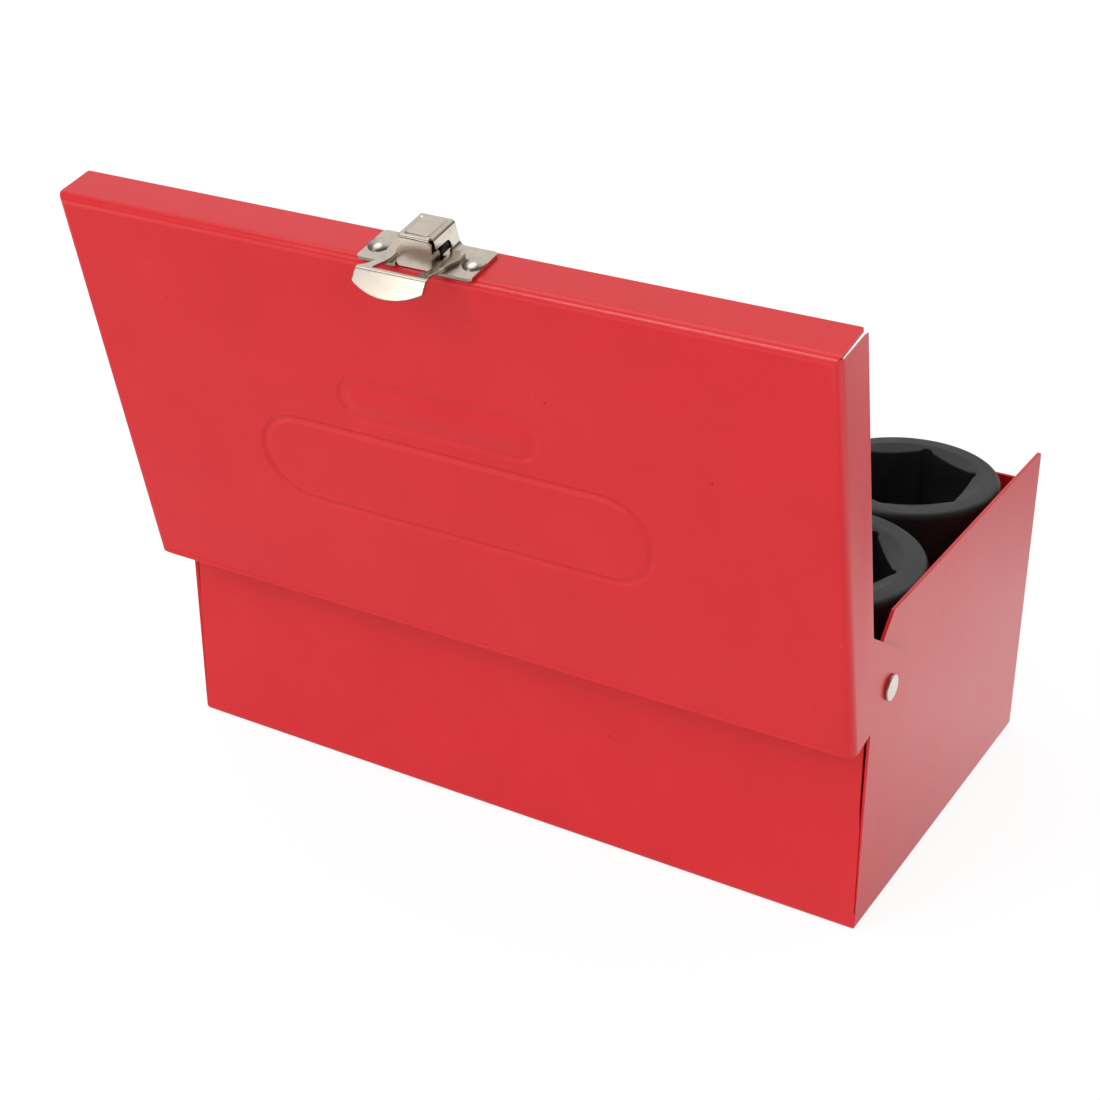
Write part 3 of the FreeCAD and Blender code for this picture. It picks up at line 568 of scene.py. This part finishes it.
# half of the housing's section: the crown bend beside its top and the flared bend above its foot
def latchBends():
    corners = [(0, latch["boxTop"]), (latch["boxHalf"], latch["boxTop"]),
               (latch["boxFoot"], latch["footTop"]), (latch["footHalf"], latch["footTop"])]
    half = roundCorners(corners, [0, latch["topRound"], latch["footFlare"], 0], bendSteps)
    return half[1:bendSteps + 2], half[bendSteps + 2:-1]


def latchTop(skin, topHalf, frontStart):
    low, top, wallEnd = latch["footLow"], latch["boxTop"], latch["wallEnd"]
    badge = []
    for inset, rise in latch["badge"]:
        x, n0, n1 = topHalf + latch["badgeOut"] - inset, low + inset, frontStart + latch["badgeOut"] - inset
        outline = roundCorners([(-x, n0), (x, n0), (x, n1), (-x, n1)], [latch["badgeRound"]] * 4, steps=4)
        badge.append([onLatch(px, top + rise, pn) for px, pn in outline])
    patch(skin, badge[-1])
    bands(skin, badge, closed=True)
    border = [(-topHalf, low), (topHalf, low), (topHalf, wallEnd), (topHalf, frontStart),
              (-topHalf, frontStart), (-topHalf, wallEnd)]
    fillBetween(skin, [onLatch(x, top, n) for x, n in border], badge[0])


# front bend and flap; returns the n and rise at which the flap starts
def latchFlap(skin, topHalf, frontStart):
    top, radius, flapHalf = latch["boxTop"], latch["topRound"], latch["flapHalf"]
    turns = [angle * (1 - latch["flapLean"] / 90) for angle in bendAngles()]
    rows = [(frontStart + radius * math.sin(t), top - radius + radius * math.cos(t)) for t in turns]
    bands(skin, [[onLatch(-topHalf, r, n), onLatch(topHalf, r, n)] for n, r in rows])
    front, flapTop = rows[-1]
    side = [(topHalf, flapTop)] + [(flapHalf - inset, flapTop - drop) for inset, drop in latch["flapNeck"]]
    side += [(flapHalf, latch["returnTop"]), (flapHalf, latch["returnLow"]),
             (flapHalf - latch["flapCorner"], latch["flapLow"])]
    flap = side + [(-x, r) for x, r in reversed(side)]
    patch(skin, [onLatch(x, r, leaned(front, r, flapTop)) for x, r in flap])
    return front, flapTop


def latchReturn(skin, sign, front, flapTop):
    up, down, radius, end = latch["returnTop"], latch["returnLow"], latch["returnBend"], latch["returnEnd"]
    fold = []
    for t in bendAngles(4):
        fold.append((latch["flapHalf"] + radius * math.sin(t), front - radius * (1 - math.cos(t))))
    bands(skin, [[onLatch(sign * x, r, leaned(n, r, flapTop)) for r in (up, down)] for x, n in fold])
    x, n = fold[-1]
    tab = roundCorners(
        [(leaned(n, up, flapTop), up), (leaned(n, down, flapTop), down), (end, down), (end, up)],
        [0, 0, *latch["returnRounds"]], steps=4)
    patch(skin, [onLatch(sign * x, r, n) for n, r in tab])


# crown bend, wall with its arched slot open to the front, flared bend and foot
def latchSide(skin, sign, crown, flare):
    low, high, slotLow, wallEnd = latch["footLow"], latch["footHigh"], latch["slotLow"], latch["wallEnd"]
    bands(skin, [[onLatch(sign * x, r, n) for n in (low, wallEnd)] for x, r in crown])
    (xa, ra), (xb, rb) = crown[-1], flare[0]
    wall = roundCorners(
        [(low, rb), (slotLow, rb), (slotLow, latch["slotTop"]), (wallEnd, latch["slotTop"]), (wallEnd, ra),
         (low, ra)],
        [0, 0, latch["slotRound"], latch["slotLip"], 0, 0])
    patch(skin, [onLatch(sign * (xa + (xb - xa) * (r - ra) / (rb - ra)), r, n) for n, r in wall])
    bands(skin, [[onLatch(sign * x, r, n) for n in (low, slotLow)] for x, r in flare])
    footIn, inner, outer = flare[-1][0], latch["footInner"], latch["footHalf"]
    foot = roundCorners(
        [(footIn, low), (outer, low), (outer, high), (inner, high), (inner, slotLow + latch["innerStart"]),
         (footIn, slotLow)],
        [0, latch["footRound"], latch["footRound"], latch["innerRound"], 0, 0])
    patch(skin, [onLatch(sign * x, latch["footTop"], n) for x, n in foot])


def latchHousing():
    skin = (bmesh.new(), {})
    crown, flare = latchBends()
    topHalf, frontStart = crown[0][0], latch["boxFront"] - latch["topRound"]
    latchTop(skin, topHalf, frontStart)
    front, flapTop = latchFlap(skin, topHalf, frontStart)
    for sign in (-1, 1):
        latchReturn(skin, sign, front, flapTop)
        latchSide(skin, sign, crown, flare)
    return foldedSheet("pressed_housing", skin, (0, -1, 0), latch["sheet"], latch["edge"], lidPlace)


dress(latchHousing(), platedSteel, "lid", "nickel_plate", "latch_housing")


# latch lever: a bar through the housing, two arms along it and a thumb tab; its hook is inside

lever = {
    "top": 2.1, "tongueHalf": 4.3, "tongueEnd": 10.4, "rootHalf": 5.3, "barLow": 14.5, "barHigh": 17.9,
    "fulcrum": 23.4, "bendN": 32.4, "bendTop": 4.5, "tip": 37.2, "tipTop": -0.35, "bends": (4.0, 1.6),
    "armIn": 6.5, "armRoot": 10.3, "armOut": 9.0, "shoulderRound": 0.8, "rowLength": 0.8,
    "waist": 5.0, "flare": 4.0, "flarePower": 2.5,   # lengths in which the arm narrows, and widens to the tab
    "tuck": 0.9, "tuckDepth": 0.5,   # and its inner edge turns in
    "tabHalf": 10.35, "tabSide": 3.1, "tabSteps": 16, "sheet": 1.0, "edge": 0.18,
    "hookHalf": 3.0, "hookBack": 12.3, "hookFront": 13.9, "hookTop": 1.1, "hookLow": -4.1,
    "hookNose": 0.6, "hookSlope": 2.0, "hookEdge": 0.15,
    "shadeReach": 0.5,   # how far past the bar the root is coloured as painted shade
}


# the arms' rows from the bar to the tab: inner and outer edge, rise and n
def armRows(path):
    dense = [path[0]]
    for a, b in zip(path, path[1:]):
        count = max(1, math.ceil((b - a).length / lever["rowLength"]))
        dense += [a.lerp(b, k / count) for k in range(1, count + 1)]
    rows = []
    last = dense[-1][0]
    for n, rise in dense:
        flare = max(0.0, 1 - (last - n) / lever["flare"])
        tuck = max(0.0, 1 - (last - n) / lever["tuck"])
        waist = min(1.0, (n - lever["barHigh"]) / lever["waist"])
        outer = lever["armRoot"] + (lever["armOut"] - lever["armRoot"]) * ease(waist)
        outer += (lever["tabHalf"] - outer) * flare ** lever["flarePower"]
        rows.append((lever["armIn"] - lever["tuckDepth"] * tuck ** 2, outer, rise, n))
    return rows


# the tab from a to b, with straight sides and an arched end
def thumbTab(skin, a, b):
    half, straight, steps = lever["tabHalf"], lever["tabSide"], lever["tabSteps"]
    length = (b - a).length
    sag = length - straight
    radius = (half * half + sag * sag) / (2 * sag)
    spread = math.asin(half / radius)
    outline = [(-half, 0.0), (half, 0.0)]
    for k in range(steps + 1):
        t = spread * (1 - 2 * k / steps)
        outline.append((radius * math.sin(t), straight + sag - radius * (1 - math.cos(t))))
    spots = [(x, a.lerp(b, reach / length)) for x, reach in outline]
    patch(skin, [onLatch(x, rise, n) for x, (n, rise) in spots])


def latchLever():
    skin = (bmesh.new(), {})
    top, tongue, root, half = lever["top"], lever["tongueHalf"], lever["rootHalf"], lever["tabHalf"]
    tongueEnd, barLow, barHigh = lever["tongueEnd"], lever["barLow"], lever["barHigh"]
    path = roundCorners(
        [(barHigh, top), (lever["fulcrum"], top), (lever["bendN"], lever["bendTop"]),
         (lever["tip"], lever["tipTop"])],
        [0, *lever["bends"], 0], bendSteps)
    start = 2 + bendSteps   # where the second bend begins
    rows = armRows(path[:start + 1])
    armIn, armOut = rows[0][:2]
    plate = [(-tongue, tongueEnd), (tongue, tongueEnd), (tongue, barLow), (-tongue, barLow)]
    patch(skin, [onLatch(x, top, n) for x, n in plate])
    bar = [(-root, barLow), (-tongue, barLow), (tongue, barLow), (root, barLow), (root, barHigh),
           (-root, barHigh)]
    patch(skin, [onLatch(x, top, n) for x, n in bar])
    for sign in (-1, 1):
        shoulder = roundCorners(
            [(root, barLow), (armOut, barLow), (armOut, barHigh), (armIn, barHigh), (root, barHigh)],
            [0, lever["shoulderRound"], 0, 0, 0], steps=4)
        patch(skin, [onLatch(sign * x, top, n) for x, n in shoulder])
        bands(skin, [[onLatch(sign * x, r, n) for x in (inner, outer)] for inner, outer, r, n in rows])
    inner, outer, rise, n = rows[-1]
    edge = [onLatch(x, rise, n) for x in (-outer, -inner, inner, outer)]
    bend = path[start:start + bendSteps]
    for n, rise in bend[1:]:
        following = [onLatch(-half, rise, n), onLatch(half, rise, n)]
        patch(skin, edge + following[::-1])
        edge = following
    thumbTab(skin, bend[-1], path[-1])
    return foldedSheet("rocking_lever", skin, (0, -1, 0), lever["sheet"], lever["edge"], lidPlace)


def latchHook():
    back, front, top, low = lever["hookBack"], lever["hookFront"], lever["hookTop"], lever["hookLow"]
    profile = [(back, top), (front, top), (front, low), (front - lever["hookNose"], low),
               (back, low + lever["hookSlope"])]
    skin = (bmesh.new(), {})
    ends = [[onLatch(x, r, n) for n, r in profile] for x in (-lever["hookHalf"], lever["hookHalf"])]
    for end in ends:
        patch(skin, end)
    bands(skin, ends, closed=True)
    return solidPiece("lever_hook", skin, lidPlace, lever["hookEdge"])


rocker = dress(latchLever(), platedSteel, "lever", "nickel_plate", "latch_lever")
# faces of the lever's root inside the housing take the painted shade material
rocker.data.materials.append(shadedRootSteel)
for face in rocker.data.polygons:
    middle = lidPlace.inverted() @ face.center / mm
    behind = middle.z < lever["barHigh"] + lever["shadeReach"]
    if behind and abs(middle.x - lid["latchX"]) < lever["rootHalf"]:
        face.material_index = 1
dress(latchHook(), platedSteel, "lever", "nickel_plate")


# latch spring: a bowed leaf between the lever and the housing's roof, which the lever flattens as it rocks;
# here it stays bowed

leaf = {
    "half": 2.5, "start": 12.9, "length": 5.0, "foot": 0.8, "crown": 1.2, "low": 2.6, "high": 7.15,
    "bend": 0.45, "sheet": 0.4, "edge": 0.08, "flattened": 0.38,
}


def bowedLeaf():
    skin = (bmesh.new(), {})
    half, low, high, foot, crown = leaf["half"], leaf["low"], leaf["high"], leaf["foot"], leaf["crown"] / 2
    start, middle, end = [leaf["start"] + leaf["length"] * share for share in (0.0, 0.5, 1.0)]
    path = roundCorners(
        [(start, low), (start + foot, low), (middle - crown, high), (middle + crown, high), (end - foot, low),
         (end, low)],
        [0] + [leaf["bend"]] * 4 + [0])
    bands(skin, [[onLatch(-half, r, n), onLatch(half, r, n)] for n, r in path])
    return foldedSheet("bowed_leaf", skin, (0, -1, 0), leaf["sheet"], leaf["edge"], lidPlace)


spring = dress(bowedLeaf(), springSteel, "lid", "spring_steel", "latch_spring")
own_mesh(spring)
print("latch made")


# rivets: flat-headed hinge pins, and low domes on the latch feet and the keeper

rivet = {
    "headInner": 112.0, "wallInner": 113.0, "headSeat": 115.4, "headOuter": 116.35, "pinRadius": 2.5,
    "headRadius": 3.7, "headEdge": 0.3, "headCrown": 0.05, "crownFlat": (1.5, 0.01),
    "domeRadius": 3.05, "domeHeight": 0.9, "domeSteps": 10, "rim": 0.3, "shankRadius": 1.6,
    "tailRadius": 2.6, "tailHeight": 0.8, "tailEdge": 0.3, "edge": 0.06,
    "latchSpread": 14.05, "latchLevel": 17.3, "latchGrip": 2.0,
    "keeperSpread": 6.0, "keeperLevel": 76.8, "keeperGrip": 2.0,
}


# a piece turned about z from its profile of (radius, height)
def turned(name, profile, place, steps=48):
    skin = (bmesh.new(), {})
    turns = [2 * math.pi * k / steps for k in range(steps)]
    bands(skin, [[(r * math.cos(a), r * math.sin(a), z) for a in turns] for r, z in profile], closed=True)
    return solidPiece(name, skin, place, rivet["edge"])


def flatRivet(name, side):
    radius, edge, pin = rivet["headRadius"], rivet["headEdge"], rivet["pinRadius"]
    inner, wall, seat, outer = rivet["headInner"], rivet["wallInner"], rivet["headSeat"], rivet["headOuter"]
    profile = [(0, inner), (radius - edge, inner), (radius, inner + edge), (radius, wall), (pin, wall),
               (pin, seat), (radius, seat)]
    for t in bendAngles(5):
        height = outer - edge - rivet["headCrown"] + edge * math.sin(t)
        profile.append((radius - edge + edge * math.cos(t), height))
    flat, fall = rivet["crownFlat"]
    profile += [(flat, outer - fall), (0, outer)]
    return turned(name, profile, hingeAxis @ Matrix.Rotation(side * math.pi / 2, 4, "Y"))


def domedRivet(name, centre, grip, swing=Matrix.Identity(4)):
    radius, high, steps = rivet["domeRadius"], rivet["domeHeight"], rivet["domeSteps"]
    sphere = (radius * radius + high * high) / (2 * high)
    profile = []
    for k in range(steps + 1):
        out = radius * k / steps
        profile.append((out, rivet["rim"] + high - sphere + math.sqrt(sphere * sphere - out * out)))
    shank, tail, edge = rivet["shankRadius"], rivet["tailRadius"], rivet["tailEdge"]
    foot = -grip - rivet["tailHeight"]
    profile += [(radius, 0), (shank, 0), (shank, -grip), (tail, -grip), (tail, foot + edge),
                (tail - edge, foot), (0, foot)]
    place = Matrix.Translation(Vector(centre) * mm) @ Matrix.Rotation(math.pi / 2, 4, "X")
    return turned(name, profile, swing @ place)


for sideName, side in (("left", -1), ("right", 1)):
    pin = flatRivet(f"hinge_pin_{sideName}", side)
    dress(pin, rivetSteel, "case", "nickel_plate", f"hinge_rivet_{sideName}")
    keeperPlace = (lid["latchX"] + side * rivet["keeperSpread"], -tray["halfDepth"], rivet["keeperLevel"])
    keeperDome = domedRivet(f"keeper_dome_{sideName}", keeperPlace, rivet["keeperGrip"])
    dress(keeperDome, rivetSteel, "case", "nickel_plate", f"catch_rivet_{sideName}")
    footPlace = onLatch(side * rivet["latchSpread"], latch["footTop"], rivet["latchLevel"])
    latchDome = domedRivet(f"latch_dome_{sideName}", footPlace, rivet["latchGrip"], lidPlace)
    dress(latchDome, rivetSteel, "lid", "nickel_plate", f"latch_rivet_{sideName}")
print("rivets set")


# deep impact sockets: hexagon mouth above, square drive below, standing on the tray bottom

socketSet = {   # across flats: x, y, outside diameter, turn of the hexagon in degrees
    42: (-79.4, 28.3, 65.0, 35.0), 38: (-14.5, 30.8, 60.0, 5.0),
    30: (40.9, 37.8, 46.0, 24.0), 27: (88.3, 38.8, 43.0, 12.0),
    35: (-23.6, -33.8, 54.0, 16.0), 36: (-82.5, -32.8, 56.0, 3.0),
    33: (32.3, -35.8, 50.0, 20.0), 32: (85.2, -36.8, 48.0, 8.0),
}
socketShape = {
    "floor": 1.0, "length": 93.0, "driveDia": 44.0, "driveTop": 34.0, "taper": 10.0, "blend": 3.5,
    "groove": (9.5, 14.5), "pinDia": 5.2, "pinHeight": 12.0, "pinSpare": 6.0,
    "hexDepth": 44.0, "hexRound": 1.2, "boreLess": 1.5,
    "square": 19.1, "squareRound": 0.8, "squareDepth": 26.0,
    # notch in each hexagon corner: radius as a share of the size, and its inset as a share of its radius
    "relief": 0.05, "reliefSeat": 0.75,
    "mouthShare": 0.805, "coneSlope": 0.33, "rimRound": 1.8, "ledge": (0.1, 0.05),
    # small steps of radius and height around each edge
    "mouthLip": [(-0.3, -0.12), (0.0, -0.035), (0.3, 0.0)],
    "grooveWall": [(0.0, 0.2), (-0.2, 0.0), (-1.0, -0.05), (-1.5, -0.6)],
    "footEdge": [(0.0, 1.2), (-0.25, 0.54), (-1.2, 0.0)],
    "squareLip": [(0.5, 0.0), (0.1, 0.12), (0.0, 0.5)],
    "hexLip": [(0.0, -0.35), (0.05, -0.1), (0.3, 0.24)],
    "points": 144, "crowding": 0.6,   # the points of a ring crowd towards the hexagon's corners
}


# distance from the axis to a polygon's side, with its corners rounded or relieved by a round notch
def polygonReach(angle, sides, apothem, cornerRound, turnAngle, relief=0.0):
    sector = 2 * math.pi / sides
    off = abs((angle - turnAngle) % sector - sector / 2)   # 0 on a flat's middle
    away = sector / 2 - off
    if apothem * math.tan(off) <= (apothem - cornerRound) * math.tan(sector / 2):
        reach = apothem / math.cos(off)
    else:
        centre = (apothem - cornerRound) / math.cos(sector / 2)
        inside = max(0.0, cornerRound ** 2 - (centre * math.sin(away)) ** 2)
        reach = centre * math.cos(away) + math.sqrt(inside)
    centre = (apothem - socketShape["reliefSeat"] * relief) / math.cos(sector / 2)
    if centre * math.sin(away) < relief:
        notch = centre * math.cos(away) + math.sqrt(relief ** 2 - (centre * math.sin(away)) ** 2)
        reach = max(reach, notch)
    return reach


# rings of radius and height from the mouth down the outside and back up inside
def socketRings(size, outside, angles, hexTurn):
    s = socketShape
    length, rim, blend, taper = s["length"], s["rimRound"], s["blend"], s["taper"]
    outer, drive, bore = outside / 2, s["driveDia"] / 2, size / 2 - s["boreLess"]
    mouth = outer * s["mouthShare"]
    hexagon = [polygonReach(a, 6, size / 2, s["hexRound"], hexTurn, size * s["relief"]) for a in angles]
    square = [polygonReach(a, 4, s["square"] / 2, s["squareRound"], math.radians(45)) for a in angles]
    cone = [length - (mouth - h) * s["coneSlope"] for h in hexagon]
    rings = []

    def ring(radius, height, steps=((0.0, 0.0),)):
        radii = radius if isinstance(radius, list) else [radius] * len(angles)
        heights = height if isinstance(height, list) else [height] * len(angles)
        for out, up in steps:
            rings.append([(r + out, h + up) for r, h in zip(radii, heights)])

    ring(mouth, length, s["mouthLip"])
    for t in bendAngles():
        ring(outer - rim + rim * math.sin(t), length - rim + rim * math.cos(t))
    taperTop = s["driveTop"] + taper + blend
    ring(outer, taperTop)
    for k in range(1, bendSteps):
        t = k / bendSteps
        ring(outer + (drive - outer) * ease(t), taperTop - (taper + 2 * blend) * t)
    ring(drive, s["driveTop"] - blend)
    grooveLow, grooveHigh = s["groove"]
    ring(drive, grooveHigh, s["grooveWall"])
    ring(drive, grooveLow, [(out, -up) for out, up in reversed(s["grooveWall"])])
    ring(drive, 0.0, s["footEdge"])
    ring(square, 0.0, s["squareLip"])
    squareLedge, hexLedge = s["ledge"]
    ring(square, s["squareDepth"] - squareLedge)
    ring(bore, s["squareDepth"])
    ring(bore, length - s["hexDepth"])
    ring(hexagon, length - s["hexDepth"] + hexLedge)
    ring(hexagon, cone, s["hexLip"])
    return rings


def impactSocket(size):
    x, y, outside, turnDegrees = socketSet[size]
    count, crowding, floor = socketShape["points"], socketShape["crowding"], socketShape["floor"]
    hexTurn = math.radians(90 + turnDegrees)
    angles = []
    for k in range(count):
        sixth = 6 * k / count
        shift = crowding * math.sin(2 * math.pi * sixth) / (2 * math.pi)
        angles.append(hexTurn + math.pi / 3 * (sixth - shift))
    skin = (bmesh.new(), {})
    ways = [(math.cos(a), math.sin(a)) for a in angles]
    rows = []
    for ring in socketRings(size, outside, angles, hexTurn):
        rows.append([(x + r * east, y + r * north, floor + z) for (east, north), (r, z) in zip(ways, ring)])
    bands(skin, rows + rows[:1], closed=True)
    return crossDrilled(solidPiece(f"impact_socket_{size}", skin), x, y, turnDegrees)


# the pin hole through the drive end, along the socket's own y
def crossDrilled(piece, x, y, turnDegrees):
    s = socketShape
    radius, depth = s["pinDia"] / 2, s["driveDia"] + s["pinSpare"]
    bm = bmesh.new()
    bmesh.ops.create_cone(bm, cap_ends=True, segments=32, radius1=radius, radius2=radius, depth=depth)
    aim = Matrix.Rotation(math.radians(turnDegrees), 4, "Z") @ Matrix.Rotation(math.pi / 2, 4, "X")
    bm.transform(Matrix.Translation((x, y, s["floor"] + s["pinHeight"])) @ aim)
    drill = finishMesh("pin_drill", bm)
    cut = piece.modifiers.new("pin hole", "BOOLEAN")
    cut.operation, cut.solver, cut.object = "DIFFERENCE", "EXACT", drill
    settle(piece)
    bpy.data.objects.remove(drill)
    return piece


for size in socketSet:
    dress(impactSocket(size), socketSteel, f"socket_{size}", "black_steel", f"socket_{size}")
print("sockets turned")


# the keeper shows its solid, painted like the case

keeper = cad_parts["catch_plate"]
keeper.data.materials.clear()
keeper.data.materials.append(redEnamel)
print("keeper painted")


# floor, soft light and white surroundings

studio = {
    "floor": "#F4F4F4", "floorHalf": 4.0, "floorDrop": 0.0003,   # m
    "floorRoughness": 0.9, "floorSpecular": 0.1,
    "shown": 0.8, "white": 1.08,   # share of the floor that is plain white to the camera, and its brightness
    "level": 0.85, "slope": (0.18, 0.45, 0.14),   # the room's light, and its rise towards the bright side
    # shiny parts see a bright far wall, a dim ceiling and a lamp high up: way to each, and its soft edge
    "glowSide": (0.20, -0.75, 0.63), "glowEdge": (0.5, 0.95), "dim": 0.12, "glow": 0.80,
    "lampSide": (0.34, 0.02, 0.94), "lampEdge": (0.93, 0.98), "lampGlow": 1.5,
    "farSide": (-0.51, -0.86, 0.0),   # reflected paper by its distance to the far side, m: brightness
    "sheen": {-0.6: 0.95, -0.42: 0.36, -0.25: 0.4, -0.03: 0.42, 0.12: 1.1, 0.2: 1.06, 0.3: 0.64, 0.42: 0.64,
              0.6: 1.1},
    # soft box: the point it faces, the way to it from there, distance and size in m, power in W
    "aim": (0, 0.04, 0.09), "boxSide": (0.36, 0.71, 0.60), "distance": 2.0, "size": 0.55, "power": 5.0,
}


# matt studio paper: seen directly it is white and keeps a soft shadow, and a reflection shows
# it brighter on the far side, which the light reaches
def studioPaper(name):
    material, tree, shader, place = startMaterial(name, {
        "Base Color": linearColour(studio["floor"]), "Roughness": studio["floorRoughness"],
        "Specular IOR Level": studio["floorSpecular"]})
    path = addNode(tree, "LightPath")
    far = addNode(tree, "VectorMath", {0: place, 1: studio["farSide"]}, operation="DOT_PRODUCT")
    stops = sorted(studio["sheen"])
    nearest, farthest, brightest = stops[0], stops[-1], max(studio["sheen"].values())
    along = addNode(tree, "MapRange", {
        "Value": far.outputs["Value"], "From Min": nearest, "From Max": farthest})
    sheen = addNode(tree, "ValToRGB", {"Fac": along.outputs[0]})
    for stop in stops[1:-1]:
        sheen.color_ramp.elements.new((stop - nearest) / (farthest - nearest))
    for element, stop in zip(sheen.color_ramp.elements, stops):
        grey = studio["sheen"][stop] / brightest
        element.color = (grey, grey, grey, 1.0)
    gleam = addNode(tree, "Math", {0: sheen.outputs["Color"], 1: brightest}, operation="MULTIPLY")
    reflected = addNode(tree, "Math", {
        0: path.outputs["Is Glossy Ray"], 1: path.outputs["Is Transmission Ray"]}, operation="MAXIMUM")
    strength = addNode(tree, "Mix", {
        "Factor": reflected.outputs[0], valueA: studio["white"], valueB: gleam.outputs[0]}, data_type="FLOAT")
    direct = addNode(tree, "Math", {
        0: path.outputs["Is Camera Ray"], 1: studio["shown"]}, operation="MULTIPLY")
    share = addNode(tree, "Math", {0: direct.outputs[0], 1: reflected.outputs[0]}, operation="MAXIMUM")
    white = addNode(tree, "Emission", {"Color": (1, 1, 1, 1), "Strength": strength.outputs[0]})
    blend = addNode(tree, "MixShader", {"Fac": share.outputs[0], 1: shader.outputs[0], 2: white.outputs[0]})
    surface = next(n for n in tree.nodes if n.type == "OUTPUT_MATERIAL").inputs["Surface"]
    tree.links.new(blend.outputs[0], surface)
    return material


def paperFloor():
    mesh = bpy.data.meshes.new("paperFloor")
    bm = bmesh.new()
    bmesh.ops.create_grid(bm, x_segments=2, y_segments=2, size=studio["floorHalf"])
    bm.to_mesh(mesh)
    bm.free()
    mesh.materials.append(studioPaper("mattStudioPaper"))
    paper = bpy.data.objects.new("paperFloor", mesh)
    paper.location.z = -studio["floorDrop"]
    scene.collection.objects.link(paper)
    return paper


# a white room, brighter on the camera's side; shiny parts see its far wall and ceiling
def studioRoom():
    world = bpy.data.worlds.new("studioRoom")
    scene.world = world
    world.use_nodes = True
    tree = world.node_tree
    tree.nodes.clear()
    path = addNode(tree, "LightPath")
    way = addNode(tree, "TexCoord").outputs["Generated"]
    lean = addNode(tree, "VectorMath", {0: way, 1: studio["slope"]}, operation="DOT_PRODUCT")
    soft = addNode(tree, "Math", {0: lean.outputs["Value"], 1: studio["level"]})
    shine = []
    for side, edge, least, most in (("glowSide", "glowEdge", studio["dim"], studio["glow"]),
                                    ("lampSide", "lampEdge", 0.0, studio["lampGlow"])):
        facing = addNode(tree, "VectorMath", {0: way, 1: studio[side]}, operation="DOT_PRODUCT")
        low, high = studio[edge]
        shine.append(addNode(tree, "MapRange", {
            "Value": facing.outputs["Value"], "From Min": low, "From Max": high,
            "To Min": least, "To Max": most}, interpolation_type="SMOOTHSTEP"))
    gloss = addNode(tree, "Math", {0: shine[0].outputs[0], 1: shine[1].outputs[0]})
    level = addNode(tree, "Mix", {
        "Factor": path.outputs["Is Glossy Ray"], valueA: soft.outputs[0], valueB: gloss.outputs[0]},
        data_type="FLOAT")
    seen = addNode(tree, "Math", {
        0: path.outputs["Is Camera Ray"], 1: path.outputs["Is Transmission Ray"]}, operation="MAXIMUM")
    strength = addNode(tree, "Mix", {
        "Factor": seen.outputs[0], valueA: level.outputs[0], valueB: 1.0}, data_type="FLOAT")
    air = addNode(tree, "Background", {"Color": (1, 1, 1, 1), "Strength": strength.outputs[0]})
    addNode(tree, "OutputWorld", {"Surface": air.outputs[0]})


def softBox(name):
    lamp = bpy.data.lights.new(name, "AREA")
    lamp.shape, lamp.size, lamp.energy = "SQUARE", studio["size"], studio["power"]
    box = bpy.data.objects.new(name, lamp)
    away = Vector(studio["boxSide"]).normalized()
    facing = (-away).to_track_quat("-Z", "Y").to_matrix().to_4x4()
    box.matrix_world = Matrix.Translation(away * studio["distance"] + Vector(studio["aim"])) @ facing
    scene.collection.objects.link(box)


floor = paperFloor()
studioRoom()
softBox("keyBox")
print("light set")
